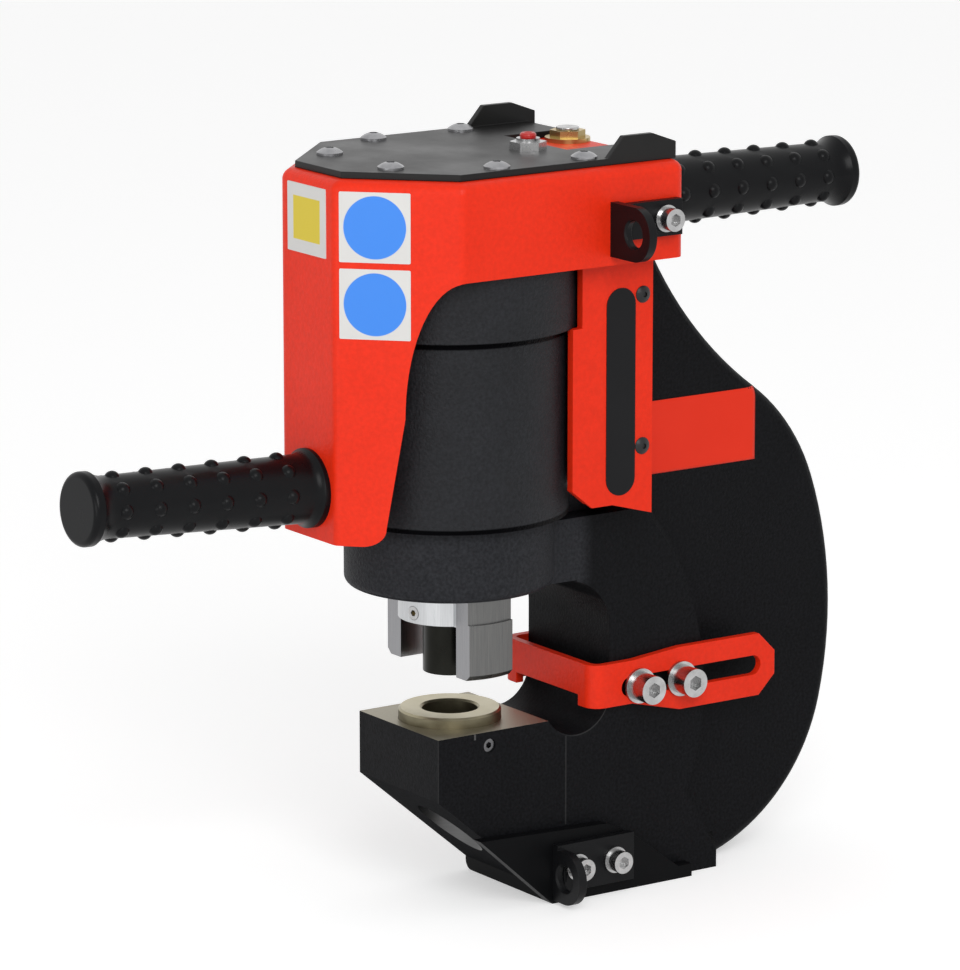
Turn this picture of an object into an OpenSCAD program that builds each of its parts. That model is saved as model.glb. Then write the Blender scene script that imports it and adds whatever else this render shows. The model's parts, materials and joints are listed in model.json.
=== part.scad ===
// Hydraulic hole punch: a C-frame with an upright cylinder, a punch and die, a stripper,
// an adjustable material stop, a sheet cowl with two grips, lifting lugs and an angled foot bracket.
// Side profiles are drawn as (Y, Z): Y runs from the front to the back, Z is the height over the foot.
// All profiles are measured from the punch axis and then placed over the middle of the foot.

/* [Frame] */
// Width of the thick C part and of the lower jaw
frame_w = 63; // [58:1:68]
// Width of the rear web
web_w = 40; // [34:1:46]
// Punch axis to the back wall of the throat
throat_depth = 65; // [60:1:70]
// Punch axis to the front of the lower jaw
jaw_reach = 27.5; // [26:0.5:30]
// Height of the lower jaw's top face
jaw_top_z = 83; // [80:1:90]
// Height of the lower jaw's front face
jaw_nose_h = 28.5; // [24:0.5:34]
// Free height between the lower jaw and the upper ring
throat_h = 62.5; // [60:0.5:66]
// Radius of the relief at the foot of the throat
relief_r = 18; // [15:1:19]
// Radius of the throat's upper corner
throat_top_r = 24; // [18:1:26]
// Radius of the upper jaw's ring boss
ring_r = 47; // [46:0.5:50]
// Height of the ring boss
ring_h = 32.5; // [30:0.5:38]
// Radius of the thick part's curved back
thick_back_r = 127; // [122:1:130]
// Fillet between the thick part and the web
web_fillet_r = 9; // [4:0.5:10]
// Punch axis to the rear end of the web
web_reach = 200.5; // [190:0.5:210]
// Rounding of the web's rim
web_edge_r = 5; // [2:0.5:8]

/* [Cylinder] */
// Outer radius of the barrel
barrel_r = 52.7; // [50:0.1:54]
// Height of the barrel
barrel_h = 85; // [80:1:92]
// Radius of the cylinder bore
bore_r = 40; // [36:0.5:42]
// Outer radius of the cylinder head
head_r = 57; // [55:0.5:60]
// Height of the cylinder head
head_h = 69; // [60:1:80]

/* [Ram and tools] */
// Working stroke of the ram
stroke = 22; // [16:1:24]
// Radius of the ram's rod
rod_r = 17; // [16:0.25:18]
// Height of the piston
piston_h = 36; // [32:1:40]
// Radius of the punch
punch_r = 12; // [6:0.5:12.5]
// Height of the punch's tip over the jaw's top face at rest
punch_lift = 22; // [16:1:24]
// Radius of the die
die_r = 23; // [20:0.5:24]
// Height of the die
die_h = 20; // [16:1:24]
// Height of the die over the jaw's top face
die_proud = 5; // [2:0.5:6]
// Radial gap between punch and die
die_gap = 0.5; // [0.4:0.1:1]
// Distance between the stripper's legs
stripper_slot_w = 44; // [40:1:46]
// Thickness of a stripper leg
stripper_leg_t = 10.5; // [8:0.5:14]
// Width of a stripper leg from front to back
stripper_leg_w = 23; // [18:0.5:26]
// Free height between the stripper and the die
work_h = 19.4; // [16:0.2:22]

/* [Material stop] */
// Thickness of the stop's strap
stop_t = 4; // [3:0.5:5]
// Height of the strap across the throat
stop_bar_h = 20; // [16:0.5:22]
// Punch axis to the front face of the strap
stop_y = 53; // [50:0.5:56]
// Height of the middle of the strap
stop_z = 95.5; // [94:0.5:98]
// Length of the slotted leg behind the strap's front face
stop_leg_l = 102; // [96:1:110]
// Length of the slot
stop_slot_l = 78; // [70:1:80]
// Distance between the two clamping screws
stop_pitch = 23; // [20:0.5:26]

/* [Cowl] */
// Thickness of the cowl's sheet
cowl_t = 3; // [2:0.5:4]
// Gap between the cylinder head and the cowl's side
cowl_gap = 0.6; // [0.4:0.1:3]
// Half width of the cowl's front face
cowl_front_half = 20.6; // [18:0.1:24]
// Punch axis to the cowl's front face
cowl_front = 73.7; // [72:0.1:80]
// Punch axis to the cowl's back face
cowl_back = 84; // [80:0.5:90]
// Height of the cowl's side panel
cowl_side_h = 43; // [38:0.5:48]
// Height of the front apron
cowl_apron_h = 160; // [150:1:162]
// Rounding of the cowl's edges
cowl_edge_r = 5; // [3:0.5:7]
// Thickness of the top plate
plate_t = 3; // [2:0.5:4]
// Inset of the top plate from the cowl's edge
plate_inset = 5.5; // [5:0.5:8]

/* [Grips] */
// Radius of the rubber sleeve at its root
grip_r = 15.3; // [14.8:0.1:16]
// Radius of the rubber sleeve before the end flange
grip_tip_r = 13.6; // [13.2:0.1:14.6]
// Length of a grip
grip_l = 118; // [100:1:125]
// Radius of the flange at the free end
grip_end_r = 16.2; // [15:0.1:18]
// Radius of the flange at the cowl
grip_base_r = 17.5; // [16:0.1:19]
// Height of the front grip's axis over the foot of the apron
front_grip_lift = 22; // [20:0.5:28]
// Height of the rear grip's axis
rear_grip_z = 310; // [308:0.5:312]
// Upward tilt of the front grip
front_grip_tilt = 2.5; // [0:0.5:4]
// Length of bare tube between the cowl and the rear grip
rear_handle_gap = 15; // [10:0.5:20]
// Rings of bumps along a grip
bump_rows = 6; // [4:1:8]
// Bumps round a grip
bump_count = 8; // [5:1:9]

/* [Lugs and foot] */
// Thickness of a lug's plate
lug_t = 4; // [3:0.5:6]
// Reach of a lug's ear from the panel that it is screwed to
lug_reach = 29; // [26:1:34]
// Height of a lug's ear
lug_h = 24; // [22:1:28]
// Radius of a lug's eye
lug_eye_r = 6; // [5:0.5:7]
// Thickness of the foot bracket
shoe_t = 6; // [5:0.5:7]
// Height of the foot bracket's side
shoe_h = 35; // [32:1:38]

/* [Hidden] */
$fn = 48;

// One overrun for all cuts, and the clearances
over = 1;
fit_gap = 0.05;
seat_gap = 0.15;
// Chords along the arc of a fillet or of the web's core
fillet_steps = 9;
// How far a fillet's curve ends inside the faces that it joins
bite = 0.25;

// Heights along the punch axis
ring_z = jaw_top_z + throat_h;
barrel_z = ring_z + ring_h;
head_z = barrel_z + barrel_h;
head_top_z = head_z + head_h;
cowl_top_z = head_top_z + cowl_t;
cowl_side_z = cowl_top_z - cowl_side_h;
apron_z = cowl_top_z - cowl_apron_h;
plate_z = cowl_top_z;
front_grip_z = apron_z + front_grip_lift;

// Frame: half widths and the centres of its arcs
frame_half = frame_w / 2;
web_half = web_w / 2;
thick_back_c = [-9, 86];
ledge_z = barrel_z - 4;
relief_y = throat_depth - relief_r;
relief_z = jaw_top_z + 9.5;
foot_l = 18;
foot_h = 8;
foot_a = -22;
slope_end_y = 30;
web_mid_r = 190;
web_low_r = 90;
web_top_r = 95;
web_neck_r = 195;
web_low_z = 87.5;
web_mid_z = 110;
web_top_z = 141.87;
web_neck_y = 94.7;
web_foot_a = -72;
neck_past_a = 16;
web_rim_w = 24;
web_rim_step = 0.06;
fillet_top_a = 42;
// The web's three arcs run into each other, and the neck's hollow arc ends at the cowl's lower edge
web_mid_c = [web_reach - web_mid_r, web_mid_z];
web_low_a = asin((web_low_z - web_mid_z) / (web_mid_r - web_low_r));
web_top_a = asin((web_top_z - web_mid_z) / (web_mid_r - web_top_r));
web_low_c = web_mid_c + (web_mid_r - web_low_r) * [cos(web_low_a), sin(web_low_a)];
web_top_c = web_mid_c + (web_mid_r - web_top_r) * [cos(web_top_a), sin(web_top_a)];
neck_arm = web_top_r + web_neck_r;
neck_run = [web_neck_y, cowl_side_z] - web_top_c;
neck_span = norm(neck_run);
neck_cos = (neck_arm * neck_arm + neck_span * neck_span - web_neck_r * web_neck_r) / (2 * neck_arm * neck_span);
web_neck_a = atan2(neck_run[1], neck_run[0]) - acos(neck_cos);
web_neck_c = web_top_c + neck_arm * [cos(web_neck_a), sin(web_neck_a)];
web_neck_p = web_top_c + web_top_r * [cos(web_neck_a), sin(web_neck_a)];
foot_front_y = web_low_c[0];
foot_back_y = foot_front_y + foot_l;
ring_edge_r = 4;
neck_fillet_r = 7;

// Gland, ram and tools
bush_r = 38;
bush_floor_t = 4.5;
bush_nose_r = 20;
bush_nose_l = 12.5;
bush_z = ring_z + bush_floor_t;
seal_t = 4;
seal_h = 6;
rod_seal_z = bush_z + 14;
rod_wiper_z = bush_z + 2;
head_spigot_h = 18;
top_gap = 4;
piston_z = head_z - head_spigot_h - top_gap - piston_h;
stud_r = 12;
nut_recess_h = 12;
nut_recess_r = 21;
piston_nut_r = 18;
piston_nut_h = 10;
piston_seal_z = piston_z + 20;
piston_guide_z = piston_z + 5;
piston_guide_h = 10;
punch_z = jaw_top_z + punch_lift;
punch_body_l = 31;
punch_head_h = 4;
punch_head_r = punch_r + 1;
punch_nut_z = punch_z + punch_body_l - 6;
punch_top_z = punch_z + punch_body_l;
rod_nose_r = 13.5;
rod_nose_h = 8;
tip_r = 2.5;
tip_h = 2;
die_z = jaw_top_z + die_proud - die_h;
die_hole_r = punch_r + die_gap;
die_chamfer = 0.9;
die_land_h = 9;
die_screw_z = jaw_top_z - 6.4;
slug_r = die_hole_r + 2;
stripper_z = jaw_top_z + die_proud + work_h;
stripper_ring_h = 15.5;
stripper_ring_z = ring_z - stripper_ring_h;
stripper_ring_r = 23;
stripper_lip_r = rod_r + 1.5;
stripper_lip_h = stripper_ring_h - bush_nose_l;
stripper_pad_z = stripper_ring_z + 2.7;
stripper_screw_z = stripper_ring_z + 4.6;
stripper_screw_a = 11.5;
stripper_pad_t = 1.2;
stripper_chamfer = 2.5;
set_screw_r = 3;
set_screw_l = 6;

// Socket screws, washers and nuts
m8_r = 4;
m8_head_r = 6.5;
m8_head_h = 8;
m8_key_r = 3.5;
m8_key_h = 4;
m8_hole_l = 18;
m8_shank_l = 14;
m8 = [m8_r, m8_head_r, m8_head_h, m8_key_r, m8_key_h];
m6_r = 3;
m6_head_r = 5;
m6_head_h = 6;
m6_key_r = 2.9;
m6_key_h = 3;
m6_hole_l = 16;
m6_shank_l = 12;
m6 = [m6_r, m6_head_r, m6_head_h, m6_key_r, m6_key_h];
m6_washer_r = 6;
washer_r = 8;
washer_t = 1.6;
lock_washer_r = 6.6;
lock_washer_t = 2;
nut_r = 5.8;
nut_h = 5;
button_r = 5.8;
button_h = 3.2;
dome_share = 1.5;
key_share = 0.35;
button_shank_r = 3;
button_shank_l = 12;

// Material stop
stop_gap = 0.3;
stop_inner = frame_half + stop_gap;
stop_outer = stop_inner + stop_t;
stop_bend_r = 7;
stop_slot_h = 9;
stop_slot_y = stop_y + 16;
stop_leg_z = stop_z - 2;
stop_bolt_y = stop_slot_y + 9.5;
stop_leg_h = 29;
stop_notch_half = 24;
stop_notch_h = 5;
stop_flare_y = stop_y + 22;
stop_flare_l = 26;
stop_end_cut = 9;

// Cowl plan, from the front face round the right side to the back
cowl_half = head_r + cowl_gap + cowl_t;
cowl_chamfer = cowl_half - cowl_front_half;
cowl_sweep_w = 19.5;
cowl_sweep_h = 60;
cowl_sweep_y = cowl_chamfer - cowl_front + 1.5;
cowl_heel_y = cowl_sweep_y - cowl_sweep_w - 6;
cowl_heel_r = 8;
cowl_heel_z = apron_z + cowl_heel_r;
sweep_steps = 18;
plate_notch_half = 24;
plate_notch_y = 46;
ear_t = 3;
ear_h = 9.2;
ear_l = 40.7;
ear_front_cut = 11;
ear_back_cut = 14.1;
ear_end_gap = 1.5;
ear_end_drop = 4.6;
plate_screws_share = [[0.396, -0.631], [0.792, -0.106], [0.784, 0.522]];

// Side covers
cover_half = 49;
cover_t = 2;
cover_front_y = 32;
cover_step = 5;
cover_back_y = 75;
cover_bottom_z = barrel_z - 2;
cover_top_z = cowl_side_z + 8;
cover_corner_z = 14.5;
cover_corner_y = 10.5;
cover_arch_z = 6;
cover_flange_x = 45;
cover_screw_r = 2.5;
cover_screw_y = cover_back_y - 5.5;
cover_screws_z = [31, 99];
cover_screw_l = 10;
cover_head_r = 3.8;
cover_head_h = 1.8;

// Grips and handle tubes
grip_end_t = 5;
grip_flare_r = 14;
grip_base_t = 3.5;
grip_base_flare_r = 6;
grip_edge_r = 2.5;
grip_cap_t = 4;
grip_end_z = grip_l - grip_end_t;
grip_flare_a = acos((grip_end_r - grip_tip_r) / grip_flare_r - 1);
grip_base_flare_a = acos((grip_base_r - grip_r) / grip_base_flare_r - 1);
grip_sleeve_z = grip_base_t + grip_base_flare_r * sin(grip_base_flare_a);
grip_flare_z = grip_end_z - grip_flare_r * sin(grip_flare_a);
bump_r = 3.6;
bump_h = 1.9;
bump_margin = 18.5;
bump_end_margin = 17;
tube_r = 11;
tube_wall = 2;
stud_out_r = 5;
stud_out_l = 10;
stud_seat_r = 14;
stud_seat_t = 5;
handle_nut_r = 9;
handle_nut_h = 8;

// Lugs, shoe and their screws
lug_leg_l = 36;
lug_leg_h = 16;
lug_bolt_rise = 3;
lug_upper_y = 43.3;
lug_upper_z = 308;
lug_lower_y = 30;
lug_lower_z = 13.7;
lug_lower_reach = 21;
lug_lower_leg_l = 42;
lug_lower_leg_h = 22;
lug_bolts_y = [26.7];
lug_lower_bolts_y = [10.3, 31];
eye_chamfer = 0.8;
shoe_front_y = -9;
shoe_edge_r = 4.5;
shoe_top_share = 0.929;
shoe_knee_share = 0.771;
shoe_top_y = 60;
shoe_knee_y = 72;
shoe_back_y = foot_front_y - 2 * seat_gap;
base_y = (slope_end_y + shoe_back_y) / 2;

// Ports on top and the return pipe
port_p = [13, 33];
port_hex_r = 8.2;
port_hex_h = 3.5;
port_neck_r = 5.2;
port_neck_h = 1.5;
port_hole_r = 6;
port_stem_l = 14;
plug_r = 3.6;
plug_h = 2;
coupling_p = [-12, 72];
coupling_flange_r = 10.2;
coupling_flange_h = 1.8;
coupling_hex_r = 8;
coupling_hex_h = 3.2;
coupling_hole_r = 6;
coupling_cap_r = 5.2;
coupling_cap_h = 1.4;
pipe_r = 4;
pipe_p = [37, 58];
pipe_top_z = head_top_z - 6;
pipe_low_z = barrel_z + 14;
banjo_r = 7;
banjo_h = 14;
nipple_r = 5;

function away(a, r) = r * [cos(a), sin(a)];

// Points along an arc round c, from angle a0 to a1; first = 1 leaves out the first point
function arc(c, r, a0, a1, first = 0) = [
    for (i = [first:fillet_steps]) c + away(a0 + (a1 - a0) * i / fillet_steps, r)
];

// Everything is drawn from the punch axis and set over the middle of the foot
module placed() translate([0, -base_y, 0]) children();

// A side profile in (Y, Z) made into a plate of width w across the mid-plane
module across(w) rotate([90, 0, 90]) linear_extrude(w, center = true) children();

// A side profile extruded along X from x0 for a length t
module slab(x0, t) translate([x0, 0, 0]) rotate([90, 0, 90]) linear_extrude(t) children();

// A solid of revolution round an axis along X through the point c, from angle a0 to a1
module swung(c, a0, a1) {
    translate([0, c[0], c[1]])
        rotate([90, 0, 90])
            rotate([0, 0, a0])
                rotate_extrude(angle = a1 - a0) children();
}

// A cylinder along X, starting at x0
module pin_x(x0, y, z, r, l) translate([x0, y, z]) rotate([0, 90, 0]) cylinder(r = r, h = l);

module tube(r_out, r_in, z, h) {
    translate([0, 0, z])
        difference() {
            cylinder(r = r_out, h = h);
            translate([0, 0, -over]) cylinder(r = r_in, h = h + 2 * over);
        }
}

module both_sides() {
    children();
    mirror([1, 0, 0]) children();
}

// Rounded rim of the web: a band along an arc of radius r, with round outer corners
module web_section(r) {
    inner = r - web_rim_w;
    half = web_half - web_rim_step;
    flat = half - web_edge_r;
    translate([inner, -half]) square([web_rim_w - web_edge_r, 2 * half]);
    translate([inner, -flat]) square([web_rim_w, 2 * flat]);
    for (s = [-1, 1])
        translate([r - web_edge_r, s * flat]) circle(r = web_edge_r);
}

// Thick C part: jaw, column and foot in side view, with the throat cut out
module thick_profile() {
    foot_p = thick_back_c + away(foot_a, thick_back_r);
    difference() {
        union() {
            intersection() {
                translate(thick_back_c) circle(r = thick_back_r);
                polygon([
                    [-jaw_reach, jaw_top_z], [-jaw_reach, jaw_top_z - jaw_nose_h], [slope_end_y, shoe_t],
                    [foot_front_y, shoe_t], [thick_back_r, foot_p[1]], [thick_back_r, ledge_z],
                    [0, ledge_z], [0, jaw_top_z]
                ]);
            }
            polygon([
                [relief_y, foot_p[1]], foot_p, [foot_back_y, foot_h], [foot_back_y, 0],
                [foot_front_y, 0], [foot_front_y, shoe_t], [relief_y, shoe_t]
            ]);
        }
        translate([-jaw_reach - over, jaw_top_z]) square([jaw_reach + relief_y + over, throat_h]);
        translate([0, relief_z]) square([throat_depth, ring_z - throat_top_r - relief_z]);
        translate([relief_y, relief_z]) circle(r = relief_r);
        translate([throat_depth - throat_top_r, ring_z - throat_top_r]) circle(r = throat_top_r);
    }
}

// Web inside its rim: foot, three arcs, then the neck behind the barrel
module web_core() {
    half_rim = web_rim_w / 2;
    polygon(concat(
        [[throat_depth + relief_r, shoe_t + foot_h], [foot_front_y, shoe_t]],
        arc(web_low_c, web_low_r - half_rim, web_foot_a, web_low_a),
        arc(web_mid_c, web_mid_r - half_rim, web_low_a, web_top_a, 1),
        arc(web_top_c, web_top_r - half_rim, web_top_a, web_neck_a, 1),
        [web_neck_p, [web_neck_p[0], cowl_side_z], [0, cowl_side_z], [0, ring_z], [throat_depth, ring_z]]
    ));
}

// Section of the cut that leaves the neck's hollow back with a rounded rim
module neck_section() {
    rim = arc([web_neck_r + web_edge_r, web_half - web_edge_r + bite], web_edge_r, 180, 90);
    for (s = [-1, 1])
        scale([1, s])
            polygon(concat(
                [[0, -over], [web_neck_r, -over]], rim, [[web_neck_r + web_edge_r, web_w], [0, web_w]]
            ));
}

module web_body() {
    difference() {
        across(web_w) web_core();
        swung(web_neck_c, 180, 180 + web_neck_a + neck_past_a) neck_section();
    }
    swung(web_mid_c, web_low_a, web_top_a) web_section(web_mid_r);
    swung(web_low_c, web_foot_a, web_low_a) web_section(web_low_r);
    swung(web_top_c, web_top_a, web_neck_a) web_section(web_top_r);
}

// Upright fillets between the ring boss and the column's sides
module neck_fillets() {
    far = ring_r + neck_fillet_r;
    x = frame_half + neck_fillet_r;
    y = sqrt(far * far - x * x);
    both_sides()
        translate([0, 0, ring_z + ring_edge_r])
            linear_extrude(ledge_z - ring_z - ring_edge_r)
                polygon(concat(
                    [[frame_half - over, y]],
                    arc([x - bite, y - bite], neck_fillet_r, 180, 180 + atan2(y, x)),
                    [[frame_half - over, y - neck_fillet_r]]
                ));
}

// Fillet that leads the thick part's curved back into the web
module back_fillet() {
    far_r = thick_back_r + web_fillet_r;
    curve = arc([far_r - bite, web_half + web_fillet_r - bite], web_fillet_r, 270, 180);
    for (s = [-1, 1])
        swung(thick_back_c, foot_a, fillet_top_a)
            scale([1, s])
                polygon(concat(
                    [[thick_back_r - over, web_half - over], [far_r - bite, web_half - over]], curve,
                    [[thick_back_r - over, web_half + web_fillet_r - bite]]
                ));
}

module ring_boss() {
    rotate_extrude() {
        translate([0, ring_z]) square([ring_r - ring_edge_r, ring_h]);
        translate([0, ring_z + ring_edge_r]) square([ring_r, ring_h - ring_edge_r]);
        translate([ring_r - ring_edge_r, ring_z + ring_edge_r]) circle(r = ring_edge_r);
    }
}

module frame_holes() {
    translate([0, 0, bush_z]) cylinder(r = bush_r + fit_gap, h = ring_h);
    translate([0, 0, ring_z - over]) cylinder(r = bush_nose_r + seat_gap, h = ring_h);
    translate([0, 0, barrel_z]) cylinder(r = barrel_r + seat_gap, h = barrel_h + over);
    translate([0, 0, head_z]) cylinder(r = head_r + seat_gap, h = head_h);
    translate([0, 0, die_z]) cylinder(r = die_r + seat_gap, h = die_h);
    cylinder(r = slug_r, h = jaw_top_z);
    pin_x(die_r - over, 0, die_screw_z, set_screw_r + seat_gap, frame_half - die_r + 2 * over);
    both_sides() {
        for (i = [0, 1])
            pin_x(frame_half - m8_hole_l, stop_bolt_y + i * stop_pitch, stop_leg_z, m8_r + seat_gap,
                m8_hole_l + over);
        for (z = cover_screws_z)
            pin_x(web_half - cover_screw_l, cover_screw_y, cover_bottom_z + z, cover_screw_r + seat_gap,
                cover_screw_l + over);
    }
    for (y = lug_lower_bolts_y)
        pin_x(frame_half - m6_hole_l, lug_lower_y + y, lug_lower_z + lug_bolt_rise, m6_r + seat_gap,
            m6_hole_l + over);
}

module c_frame() {
    color("#26262a") placed()
        difference() {
            union() {
                across(frame_w) thick_profile();
                web_body();
                back_fillet();
                neck_fillets();
                ring_boss();
            }
            frame_holes();
        }
}

module cylinder_barrel() {
    color("#26262a") placed() tube(barrel_r, bore_r, barrel_z, barrel_h);
}

module cylinder_head() {
    spigot_z = head_z - head_spigot_h;
    color("#26262a") placed()
        difference() {
            union() {
                translate([0, 0, head_z]) cylinder(r = head_r, h = head_h);
                translate([0, 0, spigot_z]) cylinder(r = bore_r - fit_gap, h = head_spigot_h + over);
            }
            tube(bore_r + over, bore_r - seal_t, spigot_z + seal_h, seal_h);
            translate([port_p[0], port_p[1] - plug_r, spigot_z - over])
                cylinder(r = plug_r / 2, h = head_h + head_spigot_h);
            translate([port_p[0], port_p[1], head_top_z - port_stem_l])
                cylinder(r = port_hole_r, h = port_stem_l + over);
            for (p = plate_screw_points())
                translate([p[0], p[1], head_top_z - button_shank_l])
                    cylinder(r = button_shank_r + seat_gap, h = button_shank_l + over);
        }
}

module guide_bush() {
    color("#b08d57") placed()
        difference() {
            union() {
                translate([0, 0, bush_z]) cylinder(r = bush_r, h = barrel_z - bush_z);
                translate([0, 0, ring_z - bush_nose_l])
                    cylinder(r = bush_nose_r, h = bush_z - ring_z + bush_nose_l + over);
            }
            translate([0, 0, ring_z - bush_nose_l - over]) cylinder(r = rod_r + fit_gap, h = barrel_z);
            for (z = [rod_seal_z, rod_wiper_z])
                translate([0, 0, z]) cylinder(r = rod_r + seal_t, h = seal_h);
        }
}

module rod_seal() {
    color("#151515") placed() tube(rod_r + seal_t - fit_gap, rod_r + fit_gap, rod_seal_z, seal_h);
}

module rod_wiper() {
    color("#151515") placed() tube(rod_r + seal_t - fit_gap, rod_r + fit_gap, rod_wiper_z, seal_h);
}

module head_seal() {
    color("#151515") placed()
        tube(bore_r - fit_gap, bore_r - seal_t + fit_gap, head_z - head_spigot_h + seal_h, seal_h);
}

module piston() {
    color("#8d8f94") placed()
        difference() {
            translate([0, 0, piston_z]) cylinder(r = bore_r - fit_gap, h = piston_h);
            translate([0, 0, piston_z - over]) cylinder(r = stud_r + fit_gap, h = piston_h + 2 * over);
            translate([0, 0, piston_z + piston_h - nut_recess_h])
                cylinder(r = nut_recess_r, h = nut_recess_h + over);
            tube(bore_r + over, bore_r - seal_t, piston_seal_z, seal_h);
            tube(bore_r + over, bore_r - seal_t, piston_guide_z, piston_guide_h);
        }
}

module piston_seal() {
    color("#151515") placed() tube(bore_r - fit_gap, bore_r - seal_t + fit_gap, piston_seal_z, seal_h);
}

module piston_guide_ring() {
    color("#6b5a3a") placed() tube(bore_r - fit_gap, bore_r - seal_t + fit_gap, piston_guide_z, piston_guide_h);
}

module piston_nut() {
    z = piston_z + piston_h - nut_recess_h;
    color("#9a9ca0") placed()
        translate([0, 0, z])
            difference() {
                cylinder(r = piston_nut_r, h = piston_nut_h, $fn = 6);
                translate([0, 0, -over]) cylinder(r = stud_r + fit_gap, h = piston_nut_h + 2 * over);
            }
}

module ram_rod() {
    low = punch_top_z + rod_nose_h;
    color("#c9ccd1") placed() {
        translate([0, 0, low]) cylinder(r = rod_r, h = piston_z - low);
        translate([0, 0, punch_top_z]) cylinder(r = rod_nose_r, h = rod_nose_h + over);
        translate([0, 0, piston_z - over])
            cylinder(r = stud_r, h = piston_h - nut_recess_h + piston_nut_h + over);
    }
}

module punch() {
    color("#3a3734") placed()
        rotate_extrude()
            polygon([
                [0, punch_z - tip_h], [tip_r, punch_z], [punch_r, punch_z],
                [punch_r, punch_top_z - punch_head_h], [punch_head_r, punch_top_z - punch_head_h],
                [punch_head_r, punch_top_z], [0, punch_top_z]
            ]);
}

module punch_nut() {
    h = punch_top_z + rod_nose_h - punch_nut_z;
    lip_h = punch_top_z - punch_head_h - punch_nut_z;
    color("#57544f") placed()
        translate([0, 0, punch_nut_z])
            difference() {
                cylinder(r = rod_r - 2 * fit_gap, h = h);
                translate([0, 0, -over]) cylinder(r = punch_r + fit_gap, h = h);
                translate([0, 0, lip_h]) cylinder(r = rod_nose_r + fit_gap, h = h);
            }
}

module stripper() {
    inner = stripper_slot_w / 2;
    outer_r = norm([inner + stripper_leg_t, stripper_leg_w / 2]);
    pad_r = outer_r - stripper_pad_t;
    leg_h = ring_z - stripper_z;
    color("#c3c5c8") placed()
        difference() {
            union() {
                translate([0, 0, stripper_ring_z]) cylinder(r = stripper_ring_r, h = stripper_ring_h);
                intersection() {
                    rotate_extrude()
                        polygon([
                            [0, stripper_z], [outer_r - stripper_chamfer, stripper_z],
                            [outer_r, stripper_z + stripper_chamfer], [outer_r, stripper_pad_z],
                            [pad_r, stripper_pad_z], [pad_r, ring_z], [0, ring_z]
                        ]);
                    translate([-outer_r - over, -stripper_leg_w / 2, stripper_z - over])
                        cube([2 * outer_r + 2 * over, stripper_leg_w, leg_h + 2 * over]);
                }
            }
            translate([-inner, -stripper_leg_w, stripper_z - over])
                cube([stripper_slot_w, 2 * stripper_leg_w, stripper_ring_z - stripper_z + over]);
            translate([0, 0, stripper_z]) cylinder(r = stripper_lip_r, h = leg_h + over);
            translate([0, 0, stripper_ring_z + stripper_lip_h]) cylinder(r = bush_nose_r + fit_gap, h = leg_h);
            rotate([0, 0, stripper_screw_a])
                translate([0, -stripper_ring_r - over, stripper_screw_z])
                    rotate([-90, 0, 0]) cylinder(r = set_screw_r + seat_gap, h = stripper_ring_r);
        }
}

module set_screw(l) {
    difference() {
        cylinder(r = set_screw_r, h = l);
        translate([0, 0, l - set_screw_r]) cylinder(r = set_screw_r / 2, h = set_screw_r + over, $fn = 6);
    }
}

module stripper_set_screw() {
    color("#8d8f94") placed()
        rotate([0, 0, stripper_screw_a])
            translate([0, -bush_nose_r, stripper_screw_z])
                rotate([90, 0, 0]) set_screw(stripper_ring_r - bush_nose_r);
}

module die() {
    top = die_z + die_h;
    land_z = top - die_land_h;
    color("#a39673") placed()
        rotate_extrude()
            polygon([
                [slug_r, die_z], [die_r, die_z], [die_r, top - die_chamfer], [die_r - die_chamfer, top],
                [die_hole_r + die_chamfer, top], [die_hole_r, top - die_chamfer], [die_hole_r, land_z],
                [slug_r, land_z - die_chamfer]
            ]);
}

module die_set_screw() {
    color("#2c2c2e") placed()
        translate([die_r, 0, die_screw_z])
            rotate([0, 90, 0]) set_screw(frame_half - die_r - die_chamfer);
}

// Slotted leg of the stop in side view: narrow at the strap, wider round the slot, cut corners at the end
module stop_leg_profile() {
    end_y = stop_y + stop_leg_l;
    bar_low = stop_z - stop_bar_h / 2;
    bar_top = stop_z + stop_bar_h / 2;
    leg_low = stop_leg_z - stop_leg_h / 2;
    leg_top = stop_leg_z + stop_leg_h / 2;
    difference() {
        polygon([
            [stop_y, bar_top], [stop_flare_y, bar_top], [stop_flare_y + stop_flare_l, leg_top],
            [end_y - stop_end_cut, leg_top], [end_y, leg_top - stop_end_cut], [end_y, leg_low + stop_end_cut],
            [end_y - stop_end_cut, leg_low], [stop_flare_y + stop_flare_l, leg_low],
            [stop_flare_y, bar_low], [stop_y, bar_low]
        ]);
        slot_r = stop_slot_h / 2;
        for (y = [stop_slot_y + slot_r, stop_slot_y + stop_slot_l - slot_r])
            translate([y, stop_leg_z]) circle(r = slot_r);
        translate([stop_slot_y + slot_r, stop_leg_z - slot_r]) square([stop_slot_l - stop_slot_h, stop_slot_h]);
    }
}

// Plan of the folded strap: two legs and the bar across the throat, with round outer bends
module stop_plan(inset) {
    r = max(stop_bend_r - inset, over);
    half = stop_outer - inset;
    front = stop_y + inset;
    for (s = [-1, 1])
        translate([s * (half - r), front + r]) circle(r = r);
    translate([r - half, front]) square([2 * (half - r), r]);
    translate([-half, front + r]) square([2 * half, stop_leg_l]);
}

module material_stop() {
    height = stop_leg_h + 2 * over;
    low = stop_leg_z - height / 2;
    notch_z = stop_z - stop_bar_h / 2;
    color("#d8301f") placed()
        difference() {
            intersection() {
                translate([0, 0, low])
                    linear_extrude(height)
                        difference() {
                            stop_plan(0);
                            stop_plan(stop_t);
                        }
                across(2 * frame_w) stop_leg_profile();
            }
            translate([-stop_notch_half, stop_y - over, notch_z - over])
                cube([2 * stop_notch_half, stop_t + 2 * over, stop_notch_h + over]);
        }
}

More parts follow.
